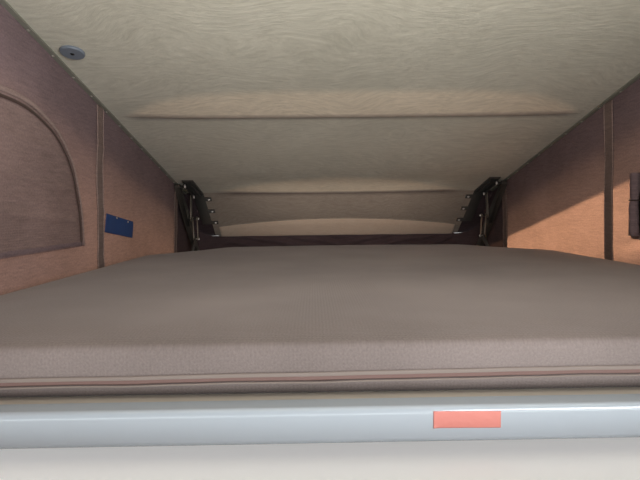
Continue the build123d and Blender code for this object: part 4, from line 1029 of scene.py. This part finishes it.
# Place and outward direction on the cover's foot line, in metres from its left far end
def coverEdge(run):
    corner = edging["corner"]
    side = edging["sideEnd"] - (edging["near"] + corner)
    arc = corner * pi / 2
    front = 2 * (edging["half"] - corner)
    if run < side:
        return Vector((-edging["half"], edging["sideEnd"] - run, 0)), Vector((-1, 0, 0))
    if run < side + arc:
        out = Vector((-cos((run - side) / corner), -sin((run - side) / corner), 0))
        return Vector((-edging["half"] + corner, edging["near"] + corner, 0)) + out * corner, out
    if run < side + arc + front:
        return Vector((-edging["half"] + corner + run - side - arc, edging["near"], 0)), Vector((0, -1, 0))
    if run < side + 2 * arc + front:
        turned = (run - side - arc - front) / corner
        out = Vector((sin(turned), -cos(turned), 0))
        return Vector((edging["half"] - corner, edging["near"] + corner, 0)) + out * corner, out
    return Vector((edging["half"], edging["near"] + corner + run - side - 2 * arc - front, 0)), Vector((1, 0, 0))


edgingRun = 2 * (edging["sideEnd"] - edging["near"] - edging["corner"]) + pi * edging["corner"] \
    + 2 * (edging["half"] - edging["corner"])


# Tape, zip or piping sewn round the cover: rows of (height, how proud), laid on the finished cushion
def coverBand(name, skin, rows, material, wave=0.0, columns=620):
    bm = bmesh.new()
    bmesh.ops.create_grid(bm, x_segments=columns, y_segments=len(rows) - 1, size=1.0)
    for vert in bm.verts:
        run = edgingRun * (vert.co.x + 1) / 2
        height, proud = rows[round((vert.co.y + 1) / 2 * (len(rows) - 1))]
        place, out = coverEdge(run)
        sag = 0.0034 * min(1.0, max(0.0, (0.10 - place.x) / 0.45))  # the zip runs lower at its left end
        wavy = wave * (noise.noise(Vector((run * 7, 3.1, 0))) + 0.5 * noise.noise(Vector((run * 19, 1.3, 0))))
        z = height - sag + wavy
        hit = skin.ray_cast(Vector((place.x, place.y, z)) + out * 0.05, -out)[0]
        base = hit if hit else Vector((place.x, place.y, z)) - out * 0.004
        vert.co = Vector((base.x, base.y, z)) + out * proud
    bmesh.ops.recalc_face_normals(bm, faces=bm.faces)
    if sum(-face.normal.y * face.calc_area() for face in bm.faces
           if face.calc_center_median().y < mattress["frontFrom"]) < 0:
        bmesh.ops.reverse_faces(bm, faces=bm.faces)
    return makePiece(name, bm, "base", material)


def makeCoverTrim(cushion):
    bm = bmesh.new()
    bm.from_object(cushion, bpy.context.evaluated_depsgraph_get())
    skin = BVHTree.FromBMesh(bm)
    bm.free()
    seam = mattress["zip"]
    coverBand("coverFlap", skin, ((seam + 0.0085, 0.0004), (seam + 0.0083, 0.0021), (seam + 0.0075, 0.0024),
                                  (seam + 0.0050, 0.0022), (seam + 0.0045, 0.0021), (seam + 0.0042, 0.0004)),
              coverTape, wave=0.0006)
    coverBand("zipTape", skin, ((seam + 0.0045, 0.0008), (seam + 0.0025, 0.0012), (seam + 0.0004, 0.0009)),
              zipTapePink, wave=0.0006)
    coverBand("zipCoil", skin, ((seam + 0.0007, 0.0004), (seam + 0.0004, 0.0012), (seam - 0.0002, 0.0012),
                                (seam - 0.0006, 0.0004)), zipDark, wave=0.0018)
    coverBand("coverPiping", skin, ((seam - 0.0008, 0.0004), (seam - 0.0011, 0.0021), (seam - 0.0019, 0.0027),
                                    (seam - 0.0027, 0.0021), (seam - 0.0030, 0.0004)), coverTape, wave=0.0016)


makeCoverTrim(makeMattress())
print("stage: mattress")


# ---- sticker on the bed's edge
sticker = {"x": (-0.0015, 0.0635), "z": (0.0272, 0.0436), "face": -0.5130, "proud": 0.0005}


# Blank vinyl label, with the small bubbles and the lifted corner of one put on by hand
def makeSticker():
    bm = bmesh.new()
    bmesh.ops.create_grid(bm, x_segments=56, y_segments=16, size=1.0)
    for vert in bm.verts:
        across, up = (vert.co.x + 1) / 2, (vert.co.y + 1) / 2
        x = sticker["x"][0] + (sticker["x"][1] - sticker["x"][0]) * across
        z = sticker["z"][0] + (sticker["z"][1] - sticker["z"][0]) * up
        bubble = 0.00035 * max(0.0, noise.noise(Vector((x * 160, z * 260, 2))))
        lift = 0.0012 * max(0.0, 1 - across * 14) * max(0.0, 1 - up * 6)
        vert.co = Vector((x, sticker["face"] - sticker["proud"] - bubble - lift, z - 0.002 * (across - 0.5) * 0.4))
    faceTowards(bm, (0, -1, 0))
    piece = makePiece("stickerBlank", bm, "base", stickerVinyl)
    thicken(piece, 0.0003)


makeSticker()


# ---- fasteners of the lift gear: name, body, x, (y, z), radius, height, ball head or not
liftFasteners = (
    ("armStudCap", "arms", 0.5965, (1.1282, 0.2067), 0.0052, 0.0050, False),
    ("rodKneeCap", "rods", 0.5985, (1.1396, 0.1207), 0.0050, 0.0040, False),
    ("crankBall", "base", 0.6080, (1.0500, 0.0660), 0.0062, 0.0120, True),
    ("checkPivotCap", "lid", 0.6150, (1.1398, 0.2979), 0.0072, 0.0045, False),
    ("armTopCap", "lid", 0.6150, (0.9947, 0.3348), 0.0080, 0.0045, False),
)
tabScrews = {"x": 0.558, "places": ((1.1758, 0.2868), (1.2435, 0.2354), (1.3112, 0.1840)), "radius": 0.0052,
             "height": 0.0024}


def makeFasteners():
    slope = (slopePoint(0, 0.05, 0.010) - slopePoint(0, 0.05, 0.0)).normalized()
    for side, word in ((-1, "left"), (1, "right")):
        for name, body, x, (y, z), radius, height, ball in liftFasteners:
            makeStud(f"{name}.{word}", body, (side * x, y, z), (-side, 0, 0), radius, height, polished,
                     sides=6 if not ball else 18, ball=ball)
        for number, (y, z) in enumerate(tabScrews["places"]):
            makeStud(f"tabScrew.{word}{number + 1}", "lid", (side * tabScrews["x"], y, z), slope,
                     tabScrews["radius"], tabScrews["height"], polished, recess=0.5)


makeFasteners()
print("stage: fasteners")


# ---- finishes on the CAD nodes
def dress(material, *names):
    for name in names:
        mesh = nodes[name].data
        mesh.materials.clear()
        mesh.materials.append(material)


dress(gelcoat, "lid_shell")
dress(framePaint, "base_frame")
dress(rubber, "frame_seal")
dress(millAluminium, "canvas_rail", "bed_rails")
dress(stripAluminium, "edge_strips")
dress(lipAluminium, "lip_strip")
dress(capPlastic, "ceiling_cap")
dress(laminate, "bed_board")
dress(edgeGloss, "bed_edge_profile")
for sideName in ("left", "right"):
    dress(powderBlack, *(part + sideName for part in (
        "lift_arm_", "frame_bracket_", "roof_bracket_", "crank_", "strut_foot_", "strut_lug_", "strut_cylinder_")))
    dress(zinc, *(part + sideName for part in ("twin_rods_", "check_link_", "strut_rod_")))
spareSkin()
print("stage: finishes")
